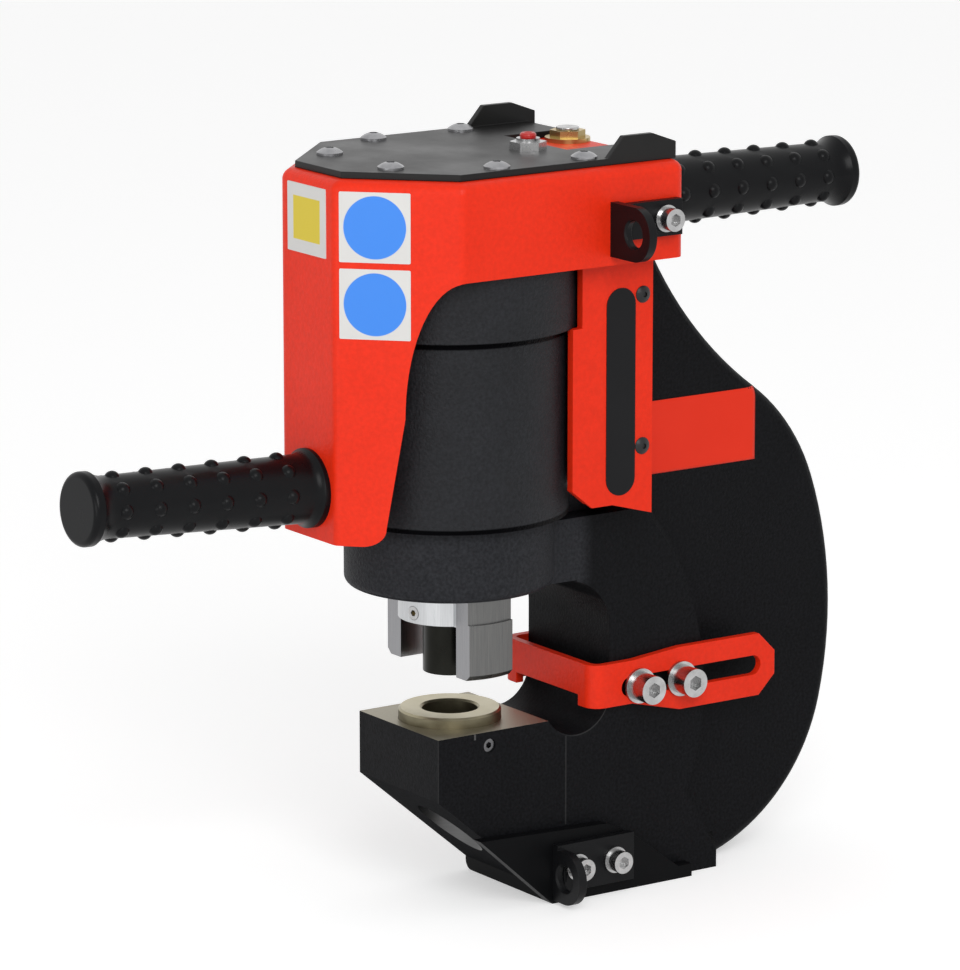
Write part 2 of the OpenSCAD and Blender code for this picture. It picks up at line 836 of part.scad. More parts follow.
// Socket head screw along +X: the seat of its head is at x = 0. The size lists the radius of the shank,
// the radius and height of the head, and the radius and depth of the hexagon socket
module socket_screw(size, shank_l) {
    rotate([0, 90, 0])
        difference() {
            union() {
                cylinder(r = size[1], h = size[2]);
                translate([0, 0, -shank_l]) cylinder(r = size[0], h = shank_l + over);
            }
            translate([0, 0, size[2] - size[4]]) cylinder(r = size[3], h = size[4] + over, $fn = 6);
        }
}

// Plain washer and lock washer, stacked from x = 0
module washer_stack(hole_r) {
    rotate([0, 90, 0])
        difference() {
            union() {
                cylinder(r = washer_r, h = washer_t);
                cylinder(r = lock_washer_r, h = washer_t + lock_washer_t);
            }
            translate([0, 0, -over]) cylinder(r = hole_r, h = washer_t + lock_washer_t + 2 * over);
        }
}

// Single plain washer from x = 0
module m6_washer() rotate([0, 90, 0]) tube(m6_washer_r, m6_r + seat_gap, 0, washer_t);

washers_h = washer_t + lock_washer_t;

module stop_bolts() {
    color("#b9bcc0") placed()
        both_sides()
            for (i = [0, 1])
                translate([stop_outer + washers_h, stop_bolt_y + i * stop_pitch, stop_leg_z])
                    socket_screw(m8, washers_h + stop_t + m8_shank_l);
}

module stop_washers() {
    color("#b9bcc0") placed()
        both_sides()
            for (i = [0, 1])
                translate([stop_outer, stop_bolt_y + i * stop_pitch, stop_leg_z])
                    washer_stack(m8_r + seat_gap);
}

function cowl_plan(inset) = let(
        half = cowl_half - inset,
        front = cowl_front - inset,
        corner = inset * tan(22.5),
        face = cowl_front_half - corner,
        side = cowl_front - cowl_chamfer - corner
    )
    [
        [-face, -front], [face, -front], [half, -side], [half, cowl_back - inset],
        [-half, cowl_back - inset], [-half, -side]
    ];

// Everything behind and below the swept edge of the apron is open: a round heel at the foot,
// a nearly upright edge, then a quarter of an ellipse that runs into the side panel's lower edge
module cowl_opening_profile() {
    heel = [cowl_heel_y - cowl_heel_r, cowl_heel_z];
    polygon(concat(
        [for (i = [0:sweep_steps]) heel + away(90 * i / sweep_steps - 90, cowl_heel_r)],
        [
            for (i = [0:sweep_steps])
                let(a = 90 * i / sweep_steps)
                [cowl_sweep_y - cowl_sweep_w * cos(a), cowl_side_z - cowl_sweep_h * (1 - sin(a))]
        ],
        [
            [cowl_back + over, cowl_side_z], [cowl_back + over, apron_z - over], [heel[0], apron_z - over]
        ]
    ));
}

module cowl() {
    plan = cowl_plan(cowl_edge_r);
    color("#d8301f") placed()
        difference() {
            hull()
                for (p = plan) {
                    translate([p[0], p[1], apron_z]) cylinder(r = cowl_edge_r, h = cowl_apron_h / 2, $fn = 32);
                    translate([p[0], p[1], cowl_top_z - cowl_edge_r]) sphere(r = cowl_edge_r, $fn = 32);
                }
            translate([0, 0, apron_z - over])
                linear_extrude(head_top_z - apron_z + over) polygon(cowl_plan(cowl_t));
            across(3 * cowl_half) cowl_opening_profile();
            translate([0, 0, front_grip_z]) rotate([90, 0, 0])
                cylinder(r = stud_out_r + seat_gap, h = cowl_front + over);
            translate([0, 0, rear_grip_z]) rotate([-90, 0, 0])
                cylinder(r = stud_out_r + seat_gap, h = cowl_back + over);
            for (y = lug_bolts_y)
                pin_x(cowl_half - 2 * cowl_t, lug_upper_y + y, lug_upper_z + lug_bolt_rise, m6_r + seat_gap,
                    3 * cowl_t);
            for (p = plate_screw_points())
                translate([p[0], p[1], head_top_z - over])
                    cylinder(r = button_shank_r + seat_gap, h = cowl_t + 2 * over);
            translate([port_p[0], port_p[1], head_top_z - over])
                cylinder(r = port_hole_r + seat_gap, h = cowl_t + 2 * over);
            translate([coupling_p[0], coupling_p[1], head_top_z - over])
                cylinder(r = coupling_hole_r + seat_gap, h = cowl_t + 2 * over);
        }
}

function plate_screw_points() = [
    for (s = [-1, 1], p = plate_screws_share) [s * p[0] * cowl_half, p[1] * cowl_front]
];

module ear_profile() {
    top = plate_z + plate_t + ear_h;
    end_y = cowl_back - ear_end_gap;
    polygon([
        [cowl_back - ear_l, plate_z], [cowl_back - ear_l + ear_front_cut, top], [cowl_back - ear_back_cut, top],
        [end_y, top - ear_end_drop], [end_y, plate_z]
    ]);
}

module top_plate() {
    half = cowl_half - plate_inset;
    color("#2b2b2d") placed()
        difference() {
            union() {
                translate([0, 0, plate_z])
                    linear_extrude(plate_t)
                        difference() {
                            polygon(cowl_plan(plate_inset));
                            translate([-plate_notch_half, plate_notch_y])
                                square([2 * plate_notch_half, cowl_back]);
                        }
                both_sides() slab(half - ear_t, ear_t) ear_profile();
            }
            for (p = plate_screw_points())
                translate([p[0], p[1], plate_z - over])
                    cylinder(r = button_shank_r + seat_gap, h = plate_t + 2 * over);
            translate([port_p[0], port_p[1], plate_z - over])
                cylinder(r = port_hole_r + seat_gap, h = plate_t + 2 * over);
        }
}

// Button head screw along +Z, seated at z = 0
module button_screw(shank_l, head_r, head_h, shank_r) {
    dome_r = head_r * dome_share;
    difference() {
        union() {
            rotate_extrude()
                intersection() {
                    square([head_r, head_h]);
                    translate([0, head_h - dome_r]) circle(r = dome_r);
                }
            translate([0, 0, -shank_l]) cylinder(r = shank_r, h = shank_l + head_h / 2);
        }
        translate([0, 0, head_h / 2]) cylinder(r = head_r * key_share, h = head_h, $fn = 6);
    }
}

module top_plate_screws() {
    color("#c9ccd1") placed()
        for (p = plate_screw_points())
            translate([p[0], p[1], plate_z + plate_t]) 
                button_screw(plate_t + cowl_t + button_shank_l - over, button_r, button_h, button_shank_r);
}

// Side cover outline: stepped front edge, chamfered lower corner, arched lower edge
module cover_profile(inset) {
    front = cover_front_y + inset;
    back = cover_back_y - inset;
    polygon([
        [front, cover_bottom_z + cover_corner_z + inset], [front, head_z - inset],
        [front + cover_step, head_z - inset], [front + cover_step, cover_top_z - inset],
        [back, cover_top_z - inset], [back, cover_bottom_z - 2 * inset],
        [(front + back) / 2, cover_bottom_z + cover_arch_z - 2 * inset],
        [front + cover_corner_y, cover_bottom_z + cover_arch_z - 2 * inset]
    ]);
}

module side_cover() {
    difference() {
        slab(web_half, cover_half - web_half) cover_profile(0);
        slab(web_half - over, cover_half - web_half - cover_t + over) cover_profile(cover_t);
        translate([web_half - over, cover_front_y - over, 0])
            cube([cover_flange_x - web_half + over, cover_back_y - cover_front_y - cover_t + over, cowl_top_z]);
        for (z = cover_screws_z)
            pin_x(cover_half - cover_t - over, cover_screw_y, cover_bottom_z + z, cover_screw_r + seat_gap,
                cover_t + 2 * over);
    }
}

module side_cover_right() {
    color("#d8301f") placed() side_cover();
}

module side_cover_left() {
    color("#d8301f") placed() mirror([1, 0, 0]) side_cover();
}

module side_cover_screws() {
    color("#2c2c2e") placed()
        both_sides()
            for (z = cover_screws_z)
                translate([cover_half, cover_screw_y, cover_bottom_z + z])
                    rotate([0, 90, 0])
                        button_screw(cover_half - web_half + cover_screw_l - over, cover_head_r, cover_head_h,
                            cover_screw_r);
}

// One bump of a grip; the rings of bumps stand in line
module grip_bump(row, i) {
    z = bump_margin + row * (grip_l - bump_margin - bump_end_margin) / (bump_rows - 1);
    along = (z - grip_sleeve_z) / (grip_flare_z - grip_sleeve_z);
    r = grip_r + (grip_tip_r - grip_r) * along - bump_r + bump_h;
    rotate([0, 0, i * 360 / bump_count])
        translate([r, 0, z]) sphere(r = bump_r);
}

// Half section of a grip: base flange, tapered sleeve, flare and rounded end flange
module grip_section() {
    polygon(concat(
        [[0, 0], [grip_base_r, 0]],
        arc([grip_r + grip_base_flare_r, grip_sleeve_z], grip_base_flare_r, -grip_base_flare_a, -180),
        arc([grip_tip_r + grip_flare_r, grip_flare_z], grip_flare_r, 180, grip_flare_a),
        arc([grip_end_r - grip_edge_r, grip_l - grip_edge_r], grip_edge_r, 0, 90),
        [[0, grip_l]]
    ));
}

// Grip along +Z from its seat at z = 0
module grip() {
    difference() {
        union() {
            rotate_extrude() grip_section();
            for (row = [0:bump_rows - 1], i = [0:bump_count - 1])
                grip_bump(row, i);
        }
        translate([0, 0, -over]) cylinder(r = tube_r + fit_gap, h = grip_l - grip_cap_t + over);
        translate([0, 0, -over]) cylinder(r = stud_seat_r + fit_gap, h = stud_seat_t + over);
    }
}

module rounded_disc(r, h, edge) {
    rotate_extrude() {
        square([r - edge, h]);
        translate([0, edge]) square([r, h - 2 * edge]);
        translate([r - edge, edge]) circle(r = edge);
        translate([r - edge, h - edge]) circle(r = edge);
    }
}

// Tube with its seat at the cowl; a gap adds bare tube and a second shoulder where the sleeve starts
module handle_tube(gap) {
    difference() {
        union() {
            cylinder(r = tube_r, h = gap + grip_l - grip_cap_t - fit_gap);
            cylinder(r = stud_seat_r, h = stud_seat_t);
            translate([0, 0, gap]) cylinder(r = stud_seat_r, h = stud_seat_t);
        }
        translate([0, 0, stud_seat_t]) cylinder(r = tube_r - tube_wall, h = gap + grip_l);
    }
}

module handle_stud() {
    translate([0, 0, -cowl_t - stud_out_l]) cylinder(r = stud_out_r, h = cowl_t + stud_out_l + over);
}

module on_front() translate([0, -cowl_front, front_grip_z]) rotate([90, 0, 0]) children();

module on_back() translate([0, cowl_back, rear_grip_z]) rotate([-90, 0, 0]) children();

// Tilts a grip or tube a little and trims its base flush with the cowl's wall
module leaning(a) {
    difference() {
        rotate([a, 0, 0]) translate([0, 0, -over]) children();
        translate([0, 0, -grip_l]) linear_extrude(grip_l) square(grip_l, center = true);
    }
}

module front_grip() {
    color("#1b1b1d") placed() on_front() leaning(-front_grip_tilt) grip();
}

module rear_grip() {
    color("#1b1b1d") placed() on_back() translate([0, 0, rear_handle_gap]) grip();
}

module front_handle_tube() {
    color("#8d8f94") placed()
        on_front() {
            leaning(-front_grip_tilt) handle_tube(0);
            handle_stud();
        }
}

module rear_handle_tube() {
    color("#8d8f94") placed()
        on_back() {
            handle_tube(rear_handle_gap);
            handle_stud();
        }
}

module hex_nut(r, h, hole_r) {
    difference() {
        cylinder(r = r, h = h, $fn = 6);
        translate([0, 0, -over]) cylinder(r = hole_r, h = h + 2 * over);
    }
}

module handle_nuts() {
    color("#9a9ca0") placed() {
        on_front() translate([0, 0, -cowl_t - handle_nut_h])
            hex_nut(handle_nut_r, handle_nut_h, stud_out_r + fit_gap);
        on_back() translate([0, 0, -cowl_t - handle_nut_h])
            hex_nut(handle_nut_r, handle_nut_h, stud_out_r + fit_gap);
    }
}

// Bent lug: a leg screwed to a panel at x = 0 and an ear that stands out from its front end
module lug(reach, leg_l, leg_h, bolts_y) {
    eye_x = reach - lug_h / 2;
    difference() {
        union() {
            translate([0, 0, lug_bolt_rise - leg_h / 2]) cube([lug_t, leg_l, leg_h]);
            translate([0, 0, -lug_h / 2]) cube([eye_x, lug_t, lug_h]);
            translate([eye_x, 0, 0]) rotate([-90, 0, 0]) cylinder(r = lug_h / 2, h = lug_t);
        }
        translate([-lug_h, -over, -lug_h]) cube([lug_h, lug_t + 2 * over, 2 * lug_h]);
        translate([eye_x, -over, 0]) rotate([-90, 0, 0]) cylinder(r = lug_eye_r, h = lug_t + 2 * over);
        for (y = [[0, 1], [lug_t, -1]])
            translate([eye_x, y[0], 0])
                rotate([-90 * y[1], 0, 0])
                    cylinder(r1 = lug_eye_r + eye_chamfer, r2 = lug_eye_r, h = eye_chamfer);
        for (y = bolts_y)
            pin_x(-over, y, lug_bolt_rise, m6_r + seat_gap, lug_t + 2 * over);
    }
}

module upper_lug() {
    color("#1f1f22") placed()
        translate([cowl_half, lug_upper_y, lug_upper_z]) lug(lug_reach, lug_leg_l, lug_leg_h, lug_bolts_y);
}

module lower_lug() {
    color("#1f1f22") placed()
        translate([frame_half + shoe_t, lug_lower_y, lug_lower_z])
            lug(lug_lower_reach, lug_lower_leg_l, lug_lower_leg_h, lug_lower_bolts_y);
}

// Places a screw part at each hole of the upper lug, at x from the cowl's outer face
module at_upper_lug(x) {
    for (y = lug_bolts_y)
        translate([cowl_half + x, lug_upper_y + y, lug_upper_z + lug_bolt_rise]) children();
}

// Places a screw part at each hole of the lower lug, at x from the foot bracket's outer face
module at_lower_lug(x) {
    for (y = lug_lower_bolts_y)
        translate([frame_half + shoe_t + x, lug_lower_y + y, lug_lower_z + lug_bolt_rise]) children();
}

module cowl_bolts() {
    color("#b9bcc0") placed()
        at_upper_lug(lug_t + washer_t) socket_screw(m6, washer_t + lug_t + cowl_t + nut_h + over);
}

module cowl_washers() {
    color("#b9bcc0") placed() at_upper_lug(lug_t) m6_washer();
}

module cowl_nuts() {
    color("#9a9ca0") placed()
        at_upper_lug(-cowl_t - nut_h) rotate([0, 90, 0]) hex_nut(nut_r, nut_h, m6_r + fit_gap);
}

// Side of the foot bracket, which runs on in front of the sole below the jaw's slope
module shoe_side_profile() {
    polygon([
        [shoe_front_y, shoe_h], [shoe_top_y, shoe_h * shoe_top_share], [shoe_knee_y, shoe_h * shoe_knee_share],
        [shoe_back_y, 0], [slope_end_y, 0]
    ]);
}

// Sole of the foot bracket in (X, Z), with a round lower edge on the left
module sole_section() {
    translate([shoe_edge_r - frame_half, 0]) square([frame_w - shoe_edge_r + shoe_t, shoe_t]);
    intersection() {
        translate([-frame_half, 0]) square([shoe_edge_r + over, shoe_t]);
        union() {
            translate([shoe_edge_r - frame_half, shoe_edge_r]) circle(r = shoe_edge_r);
            translate([-frame_half, shoe_edge_r]) square([shoe_edge_r + over, shoe_t]);
        }
    }
}

// Foot bracket: a sole under the frame and one side, held by the lower lug's screws
module foot_shoe() {
    color("#1f1f22") placed()
        difference() {
            union() {
                translate([0, shoe_back_y, 0])
                    rotate([90, 0, 0])
                        linear_extrude(shoe_back_y - slope_end_y) sole_section();
                slab(frame_half, shoe_t) shoe_side_profile();
            }
            at_lower_lug(-shoe_t - over) pin_x(0, 0, 0, m6_r + seat_gap, shoe_t + 2 * over);
        }
}

module foot_bolts() {
    color("#b9bcc0") placed()
        at_lower_lug(lug_t + washer_t) socket_screw(m6, washer_t + lug_t + shoe_t + m6_shank_l);
}

module foot_washers() {
    color("#b9bcc0") placed() at_lower_lug(lug_t) m6_washer();
}

module advance_port_fitting() {
    seat_z = plate_z + plate_t;
    color("#b9bcc0") placed()
        translate([port_p[0], port_p[1], seat_z])
            difference() {
                union() {
                    cylinder(r = port_hex_r, h = port_hex_h, $fn = 6);
                    cylinder(r = port_neck_r, h = port_hex_h + port_neck_h);
                    translate([0, 0, head_top_z - seat_z - port_stem_l + over])
                        cylinder(r = port_hole_r - seat_gap, h = port_stem_l + seat_z - head_top_z);
                }
                translate([0, 0, port_hex_h]) cylinder(r = plug_r + fit_gap, h = port_neck_h + over);
            }
}

module port_plug() {
    color("#c01818") placed()
        translate([port_p[0], port_p[1], plate_z + plate_t + port_hex_h]) {
            cylinder(r = plug_r, h = port_neck_h);
            translate([0, 0, port_neck_h]) rounded_disc(plug_r, plug_h, plug_r / 3);
        }
}

module return_coupling() {
    color("#b59a5a") placed()
        translate([coupling_p[0], coupling_p[1], cowl_top_z]) {
            cylinder(r = coupling_flange_r, h = coupling_flange_h);
            cylinder(r = coupling_hex_r, h = coupling_flange_h + coupling_hex_h, $fn = 6);
            translate([0, 0, -cowl_t]) cylinder(r = coupling_hole_r, h = cowl_t + over);
        }
}

module coupling_cap() {
    color("#c9ccd1") placed()
        translate([coupling_p[0], coupling_p[1], cowl_top_z + coupling_flange_h + coupling_hex_h])
            rounded_disc(coupling_cap_r, coupling_cap_h, coupling_cap_h / 4);
}

// Return pipe: from the coupling sideways, then down beside the barrel
module return_pipe() {
    run = pipe_p - coupling_p;
    color("#8d8f94") placed() {
        translate([coupling_p[0], coupling_p[1], pipe_top_z])
            rotate([0, 90, atan2(run[1], run[0])])
                translate([0, 0, banjo_r]) cylinder(r = pipe_r, h = norm(run) - banjo_r);
        translate([pipe_p[0], pipe_p[1], pipe_top_z]) sphere(r = pipe_r + seat_gap);
        translate([pipe_p[0], pipe_p[1], pipe_low_z + banjo_h / 2])
            cylinder(r = pipe_r, h = pipe_top_z - pipe_low_z - banjo_h / 2);
    }
}

module pipe_banjos() {
    reach = norm(pipe_p);
    color("#9a9ca0") placed() {
        translate([coupling_p[0], coupling_p[1], pipe_top_z - pipe_r])
            cylinder(r = banjo_r, h = head_top_z - pipe_top_z + pipe_r);
        translate([pipe_p[0], pipe_p[1], pipe_low_z - banjo_h / 2]) cylinder(r = banjo_r, h = banjo_h);
        rotate([0, 0, atan2(pipe_p[1], pipe_p[0])])
            translate([barrel_r + seat_gap, 0, pipe_low_z])
                rotate([0, 90, 0]) cylinder(r = nipple_r, h = reach - barrel_r - seat_gap);
    }
}

c_frame();
cylinder_barrel();
cylinder_head();
guide_bush();
rod_seal();
rod_wiper();
head_seal();
piston();
piston_seal();
piston_guide_ring();
piston_nut();
ram_rod();
punch();
punch_nut();
stripper();
stripper_set_screw();
die();
die_set_screw();
material_stop();
stop_bolts();
stop_washers();
cowl();
top_plate();
top_plate_screws();
side_cover_right();
side_cover_left();
side_cover_screws();
front_grip();
front_handle_tube();
rear_grip();
rear_handle_tube();
handle_nuts();
upper_lug();
lower_lug();
cowl_bolts();
cowl_washers();
cowl_nuts();
foot_shoe();
foot_bolts();
foot_washers();
advance_port_fitting();
port_plug();
return_coupling();
coupling_cap();
return_pipe();
pipe_banjos();
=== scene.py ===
# %% [markdown]
# # A portable hydraulic hole punch
# The machine is a black C-frame with an upright oil cylinder. A ram pushes a round punch into a die in
# the lower jaw, an aluminium stripper pulls the work off the punch, and a red strap sets how deep the
# work goes in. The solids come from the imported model. This lesson gives them their paint, metal and
# rubber, softens the edges of sheets and plates, lays on the plain labels, and sets the light and the
# camera.

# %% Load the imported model
import json
import math
from collections import namedtuple

import bmesh
import bpy
from mathutils import Matrix, Vector


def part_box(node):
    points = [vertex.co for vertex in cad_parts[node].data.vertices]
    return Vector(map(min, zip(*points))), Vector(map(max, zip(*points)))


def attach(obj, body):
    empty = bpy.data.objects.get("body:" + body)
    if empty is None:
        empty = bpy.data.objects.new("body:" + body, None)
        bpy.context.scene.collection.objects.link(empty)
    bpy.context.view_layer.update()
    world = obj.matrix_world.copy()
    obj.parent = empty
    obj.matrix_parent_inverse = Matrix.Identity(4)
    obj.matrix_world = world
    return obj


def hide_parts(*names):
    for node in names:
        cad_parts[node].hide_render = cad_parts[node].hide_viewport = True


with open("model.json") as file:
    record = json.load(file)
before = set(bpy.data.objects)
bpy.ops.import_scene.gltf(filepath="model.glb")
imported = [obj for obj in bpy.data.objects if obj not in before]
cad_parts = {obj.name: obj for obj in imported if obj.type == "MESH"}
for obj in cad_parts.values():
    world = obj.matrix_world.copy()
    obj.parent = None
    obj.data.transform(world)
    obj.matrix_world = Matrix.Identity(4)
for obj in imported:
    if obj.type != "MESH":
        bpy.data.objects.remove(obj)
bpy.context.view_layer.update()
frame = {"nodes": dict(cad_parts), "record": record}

NODES = frame["nodes"]
RECORD = frame["record"]
BODY_OF = {node: body for body, nodes in RECORD["behaviour"]["bodies"].items() for node in nodes}
SCENE = bpy.context.scene
MM = 0.001

punch_low, punch_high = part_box("punch")
PUNCH_Y = (punch_low[1] + punch_high[1]) / 2


def at(x, y, z):
    """A point measured in millimetres from the foot of the punch axis."""
    return Vector((x * MM, y * MM + PUNCH_Y, z * MM))


# %% [markdown]
# The camera stands high on the right and in front. It could be placed by eye, but then edges never quite
# line up. Its place was solved from edges of the machine that are known to be level or upright, which
# also shows that the lens is long and the picture has little perspective. Three directions make up its
# matrix.

# %% Camera
AZIMUTH = math.radians(55.49)
PITCH = math.radians(12.52)
DISTANCE = 2.4817
AIM_Z = 0.088  # the camera is set out from this height on the punch axis
SHIFT_RIGHT = 0.01353
SHIFT_UP = 0.09852
FOCAL_PIXELS = 5559
PICTURE_PIXELS = 970
SENSOR = 36
FAR_CLIP = 50

right = Vector((math.cos(AZIMUTH), math.sin(AZIMUTH), 0))
back = Vector((math.sin(AZIMUTH) * math.cos(PITCH), -math.cos(AZIMUTH) * math.cos(PITCH), math.sin(PITCH)))
up = back.cross(right)
eye = Vector((0, PUNCH_Y, AIM_Z)) + back * DISTANCE + right * SHIFT_RIGHT + up * SHIFT_UP

camera_data = bpy.data.cameras.new("camera")
camera_data.sensor_width = SENSOR
camera_data.sensor_height = SENSOR
camera_data.lens = SENSOR * FOCAL_PIXELS / PICTURE_PIXELS
camera_data.clip_end = FAR_CLIP
camera = bpy.data.objects.new("camera", camera_data)
camera.matrix_world = Matrix((right, up, back)).transposed().to_4x4()
camera.location = eye
SCENE.collection.objects.link(camera)
SCENE.camera = camera
print("camera at", [round(v, 3) for v in eye], "lens", round(camera_data.lens, 1))

# %% [markdown]
# Paint, rubber and metal are made of shader nodes. Written out link by link, a node tree is hard to
# read. So a few helpers add a node, set or link a socket, do a sum, map a range and mix two colours.

# %% Node helpers
def add(tree, kind, **values):
    """A new node. Each value goes to the input of that name or, if there is none, to a setting."""
    node = tree.nodes.new(kind)
    for name, value in values.items():
        key = name.replace("_", " ")
        if key in node.inputs:
            node.inputs[key].default_value = value
        else:
            setattr(node, name, value)
    return node


def feed(tree, socket, value):
    """Links an output to a socket, or sets the socket to a plain value."""
    if isinstance(value, bpy.types.NodeSocket):
        tree.links.new(value, socket)
    else:
        socket.default_value = value


def calc(tree, operation, a, b=0.0):
    node = add(tree, "ShaderNodeMath", operation=operation)
    feed(tree, node.inputs[0], a)
    feed(tree, node.inputs[1], b)
    return node.outputs[0]


def ramp(tree, value, low, high, to_low=0.0, to_high=1.0):
    """Maps low..high to to_low..to_high, and holds the ends."""
    node = add(tree, "ShaderNodeMapRange")
    feed(tree, node.inputs["Value"], value)
    feed(tree, node.inputs["From Min"], low)
    feed(tree, node.inputs["From Max"], high)
    feed(tree, node.inputs["To Min"], to_low)
    feed(tree, node.inputs["To Max"], to_high)
    return node.outputs["Result"]


def blend(tree, factor, a, b):
    """Colour a where the factor is 0, colour b where it is 1."""
    node = add(tree, "ShaderNodeMix", data_type="RGBA")
    feed(tree, node.inputs["Factor"], factor)
    for socket, value in zip([s for s in node.inputs if s.type == "RGBA"], (a, b)):
        feed(tree, socket, value)
    return next(s for s in node.outputs if s.type == "RGBA")


print("node helpers ready")

# %% [markdown]
# A mark such as a worn edge or a scribed line is a mask: 1 on the mark and 0 elsewhere. It could be
# painted on an image. A mask that is worked out from the place on the piece and from the way a face
# looks stays sharp at any distance and needs no unwrapping, so that is the way here.

# %% Mask helpers
MARK_SOFT = 0.00012  # the width over which the edge of a mark fades


def axes(tree, coordinate):
    """X, Y and Z of a coordinate: Object is the place on the piece, Normal the way that the face looks."""
    parts = add(tree, "ShaderNodeSeparateXYZ")
    tree.links.new(add(tree, "ShaderNodeTexCoord").outputs[coordinate], parts.inputs[0])
    return parts.outputs


def fold(tree, operation, first, *others):
    """One operation over any number of values: MULTIPLY for where all masks meet, MAXIMUM for any of them."""
    for other in others:
        first = calc(tree, operation, first, other)
    return first


def size_of(tree, value):
    return calc(tree, "ABSOLUTE", value)


def distance(tree, a, b):
    squares = [calc(tree, "MULTIPLY", value, value) for value in (a, b)]
    return calc(tree, "SQRT", calc(tree, "ADD", *squares))


def near(tree, value, middle, half, soft=MARK_SOFT):
    """1 where the value is within half of the middle."""
    return ramp(tree, size_of(tree, calc(tree, "SUBTRACT", value, middle)), half, half + soft, 1.0, 0.0)


print("mask helpers ready")

# %% [markdown]
# Finishes share a few effects. Copied into every material, an effect would have to be mended in each of
# them, so it is a node group that is built once and placed with other values. A group puts out only
# colours, masks and values. The shader itself stays in each material, where the exporter can read it.

# %% Group helpers
VALUE = "NodeSocketFloat"
COLOR = "NodeSocketColor"


def group(name, inputs, outputs):
    tree = bpy.data.node_groups.new(name, "ShaderNodeTree")
    for title, kind, value in inputs:
        tree.interface.new_socket(title, in_out="INPUT", socket_type=kind).default_value = value
    for title, kind in outputs:
        tree.interface.new_socket(title, in_out="OUTPUT", socket_type=kind)
    return tree, tree.nodes.new("NodeGroupInput").outputs, tree.nodes.new("NodeGroupOutput").inputs


def place(tree, group_tree, **values):
    node = tree.nodes.new("ShaderNodeGroup")
    node.node_tree = group_tree
    for name, value in values.items():
        feed(tree, node.inputs[name.replace("_", " ")], value)
    return node


def noise_at(tree, scale, detail=4.0, roughness=0.6, stretch=None):
    """Fractal noise fixed to the piece; stretch draws it out along an axis."""
    vector = add(tree, "ShaderNodeTexCoord").outputs["Object"]
    if stretch:
        mapping = add(tree, "ShaderNodeMapping", vector_type="POINT", Scale=stretch)
        tree.links.new(vector, mapping.inputs["Vector"])
        vector = mapping.outputs["Vector"]
    noise = add(tree, "ShaderNodeTexNoise", Detail=detail, Roughness=roughness)
    tree.links.new(vector, noise.inputs["Vector"])
    feed(tree, noise.inputs["Scale"], scale)
    return noise.outputs["Fac"]


NOISE_LOW, NOISE_HIGH = 0.3, 0.7  # most of the noise lies between these
print("group helpers ready")

# %% [markdown]
# Fine relief. Wrinkle paint, powder coat, rubber and plating are all rough at a small scale. Real
# geometry would take millions of faces, so one fractal noise gives the height for a Bump node in each
# material. A broad second noise says where the relief is weaker, so that no surface looks stamped.

# %% Group: grain
grain, grain_in, grain_out = group(
    "grain",
    [("Scale", VALUE, 400.0), ("Patch Scale", VALUE, 25.0), ("Evenness", VALUE, 0.5)],
    [("Height", VALUE)],
)
fine = noise_at(grain, grain_in["Scale"], detail=3.0, roughness=0.55)
broad = noise_at(grain, grain_in["Patch Scale"], detail=2.0)
patch = ramp(grain, broad, NOISE_LOW, NOISE_HIGH, grain_in["Evenness"], 1.0)
grain.links.new(calc(grain, "MULTIPLY", fine, patch), grain_out["Height"])
print("group", grain.name)

# %% [markdown]
# Drift. Paint, rubber and steel never have one even colour: handling and cleaning leave soft patches
# that are a little lighter, darker or duller. One flat colour would look like plastic, so the group
# mixes two colours and two roughness values by the same noise. A finer noise flecks the colour lighter
# and darker about a millimetre apart: painted light and shade of the crests and hollows of wrinkle paint
# and orange peel.

# %% Group: drift
drift, drift_in, drift_out = group(
    "drift",
    [("Color A", COLOR, (0.5, 0.5, 0.5, 1)), ("Color B", COLOR, (0.4, 0.4, 0.4, 1)), ("Scale", VALUE, 30.0),
     ("Rough A", VALUE, 0.4), ("Rough B", VALUE, 0.5),
     ("Fleck Scale", VALUE, 600.0), ("Fleck Depth", VALUE, 0.0)],
    [("Color", COLOR), ("Roughness", VALUE)],
)
cloud = noise_at(drift, drift_in["Scale"], detail=5.0)
# painted light and shade of fine relief: this noise flecks the colour lighter and darker
relief_light_and_shade = noise_at(drift, drift_in["Fleck Scale"], detail=2.0, roughness=0.5)
darkest = calc(drift, "SUBTRACT", 1.0, drift_in["Fleck Depth"])
lightest = calc(drift, "ADD", 1.0, drift_in["Fleck Depth"])
patches = blend(drift, ramp(drift, cloud, NOISE_LOW, NOISE_HIGH), drift_in["Color A"], drift_in["Color B"])
flecked = add(drift, "ShaderNodeVectorMath", operation="SCALE")
drift.links.new(patches, flecked.inputs["Vector"])
drift.links.new(ramp(drift, relief_light_and_shade, NOISE_LOW, NOISE_HIGH, darkest, lightest), flecked.inputs["Scale"])
drift.links.new(flecked.outputs["Vector"], drift_out["Color"])
duller = ramp(drift, cloud, NOISE_LOW, NOISE_HIGH, drift_in["Rough A"], drift_in["Rough B"])
drift.links.new(duller, drift_out["Roughness"])
print("group", drift.name)

# %% [markdown]
# Tool marks. A milled or ground face carries fine lines in one direction. Single scratches would be slow
# to place, and noise that is stretched along that direction gives the lines at once. They can go into
# colour, roughness and height together.

# %% Group: tool marks
LEVEL_STRETCH = (60, 60, 2600)
UPRIGHT_STRETCH = (2200, 2200, 50)

marks, marks_in, marks_out = group(
    "tool_marks",
    [("Scale", VALUE, 1.0)],
    [("Level", VALUE), ("Upright", VALUE)],
)
for direction, stretch in (("Level", LEVEL_STRETCH), ("Upright", UPRIGHT_STRETCH)):
    lines = noise_at(marks, marks_in["Scale"], detail=3.0, roughness=0.7, stretch=stretch)
    marks.links.new(lines, marks_out[direction])
print("group", marks.name)

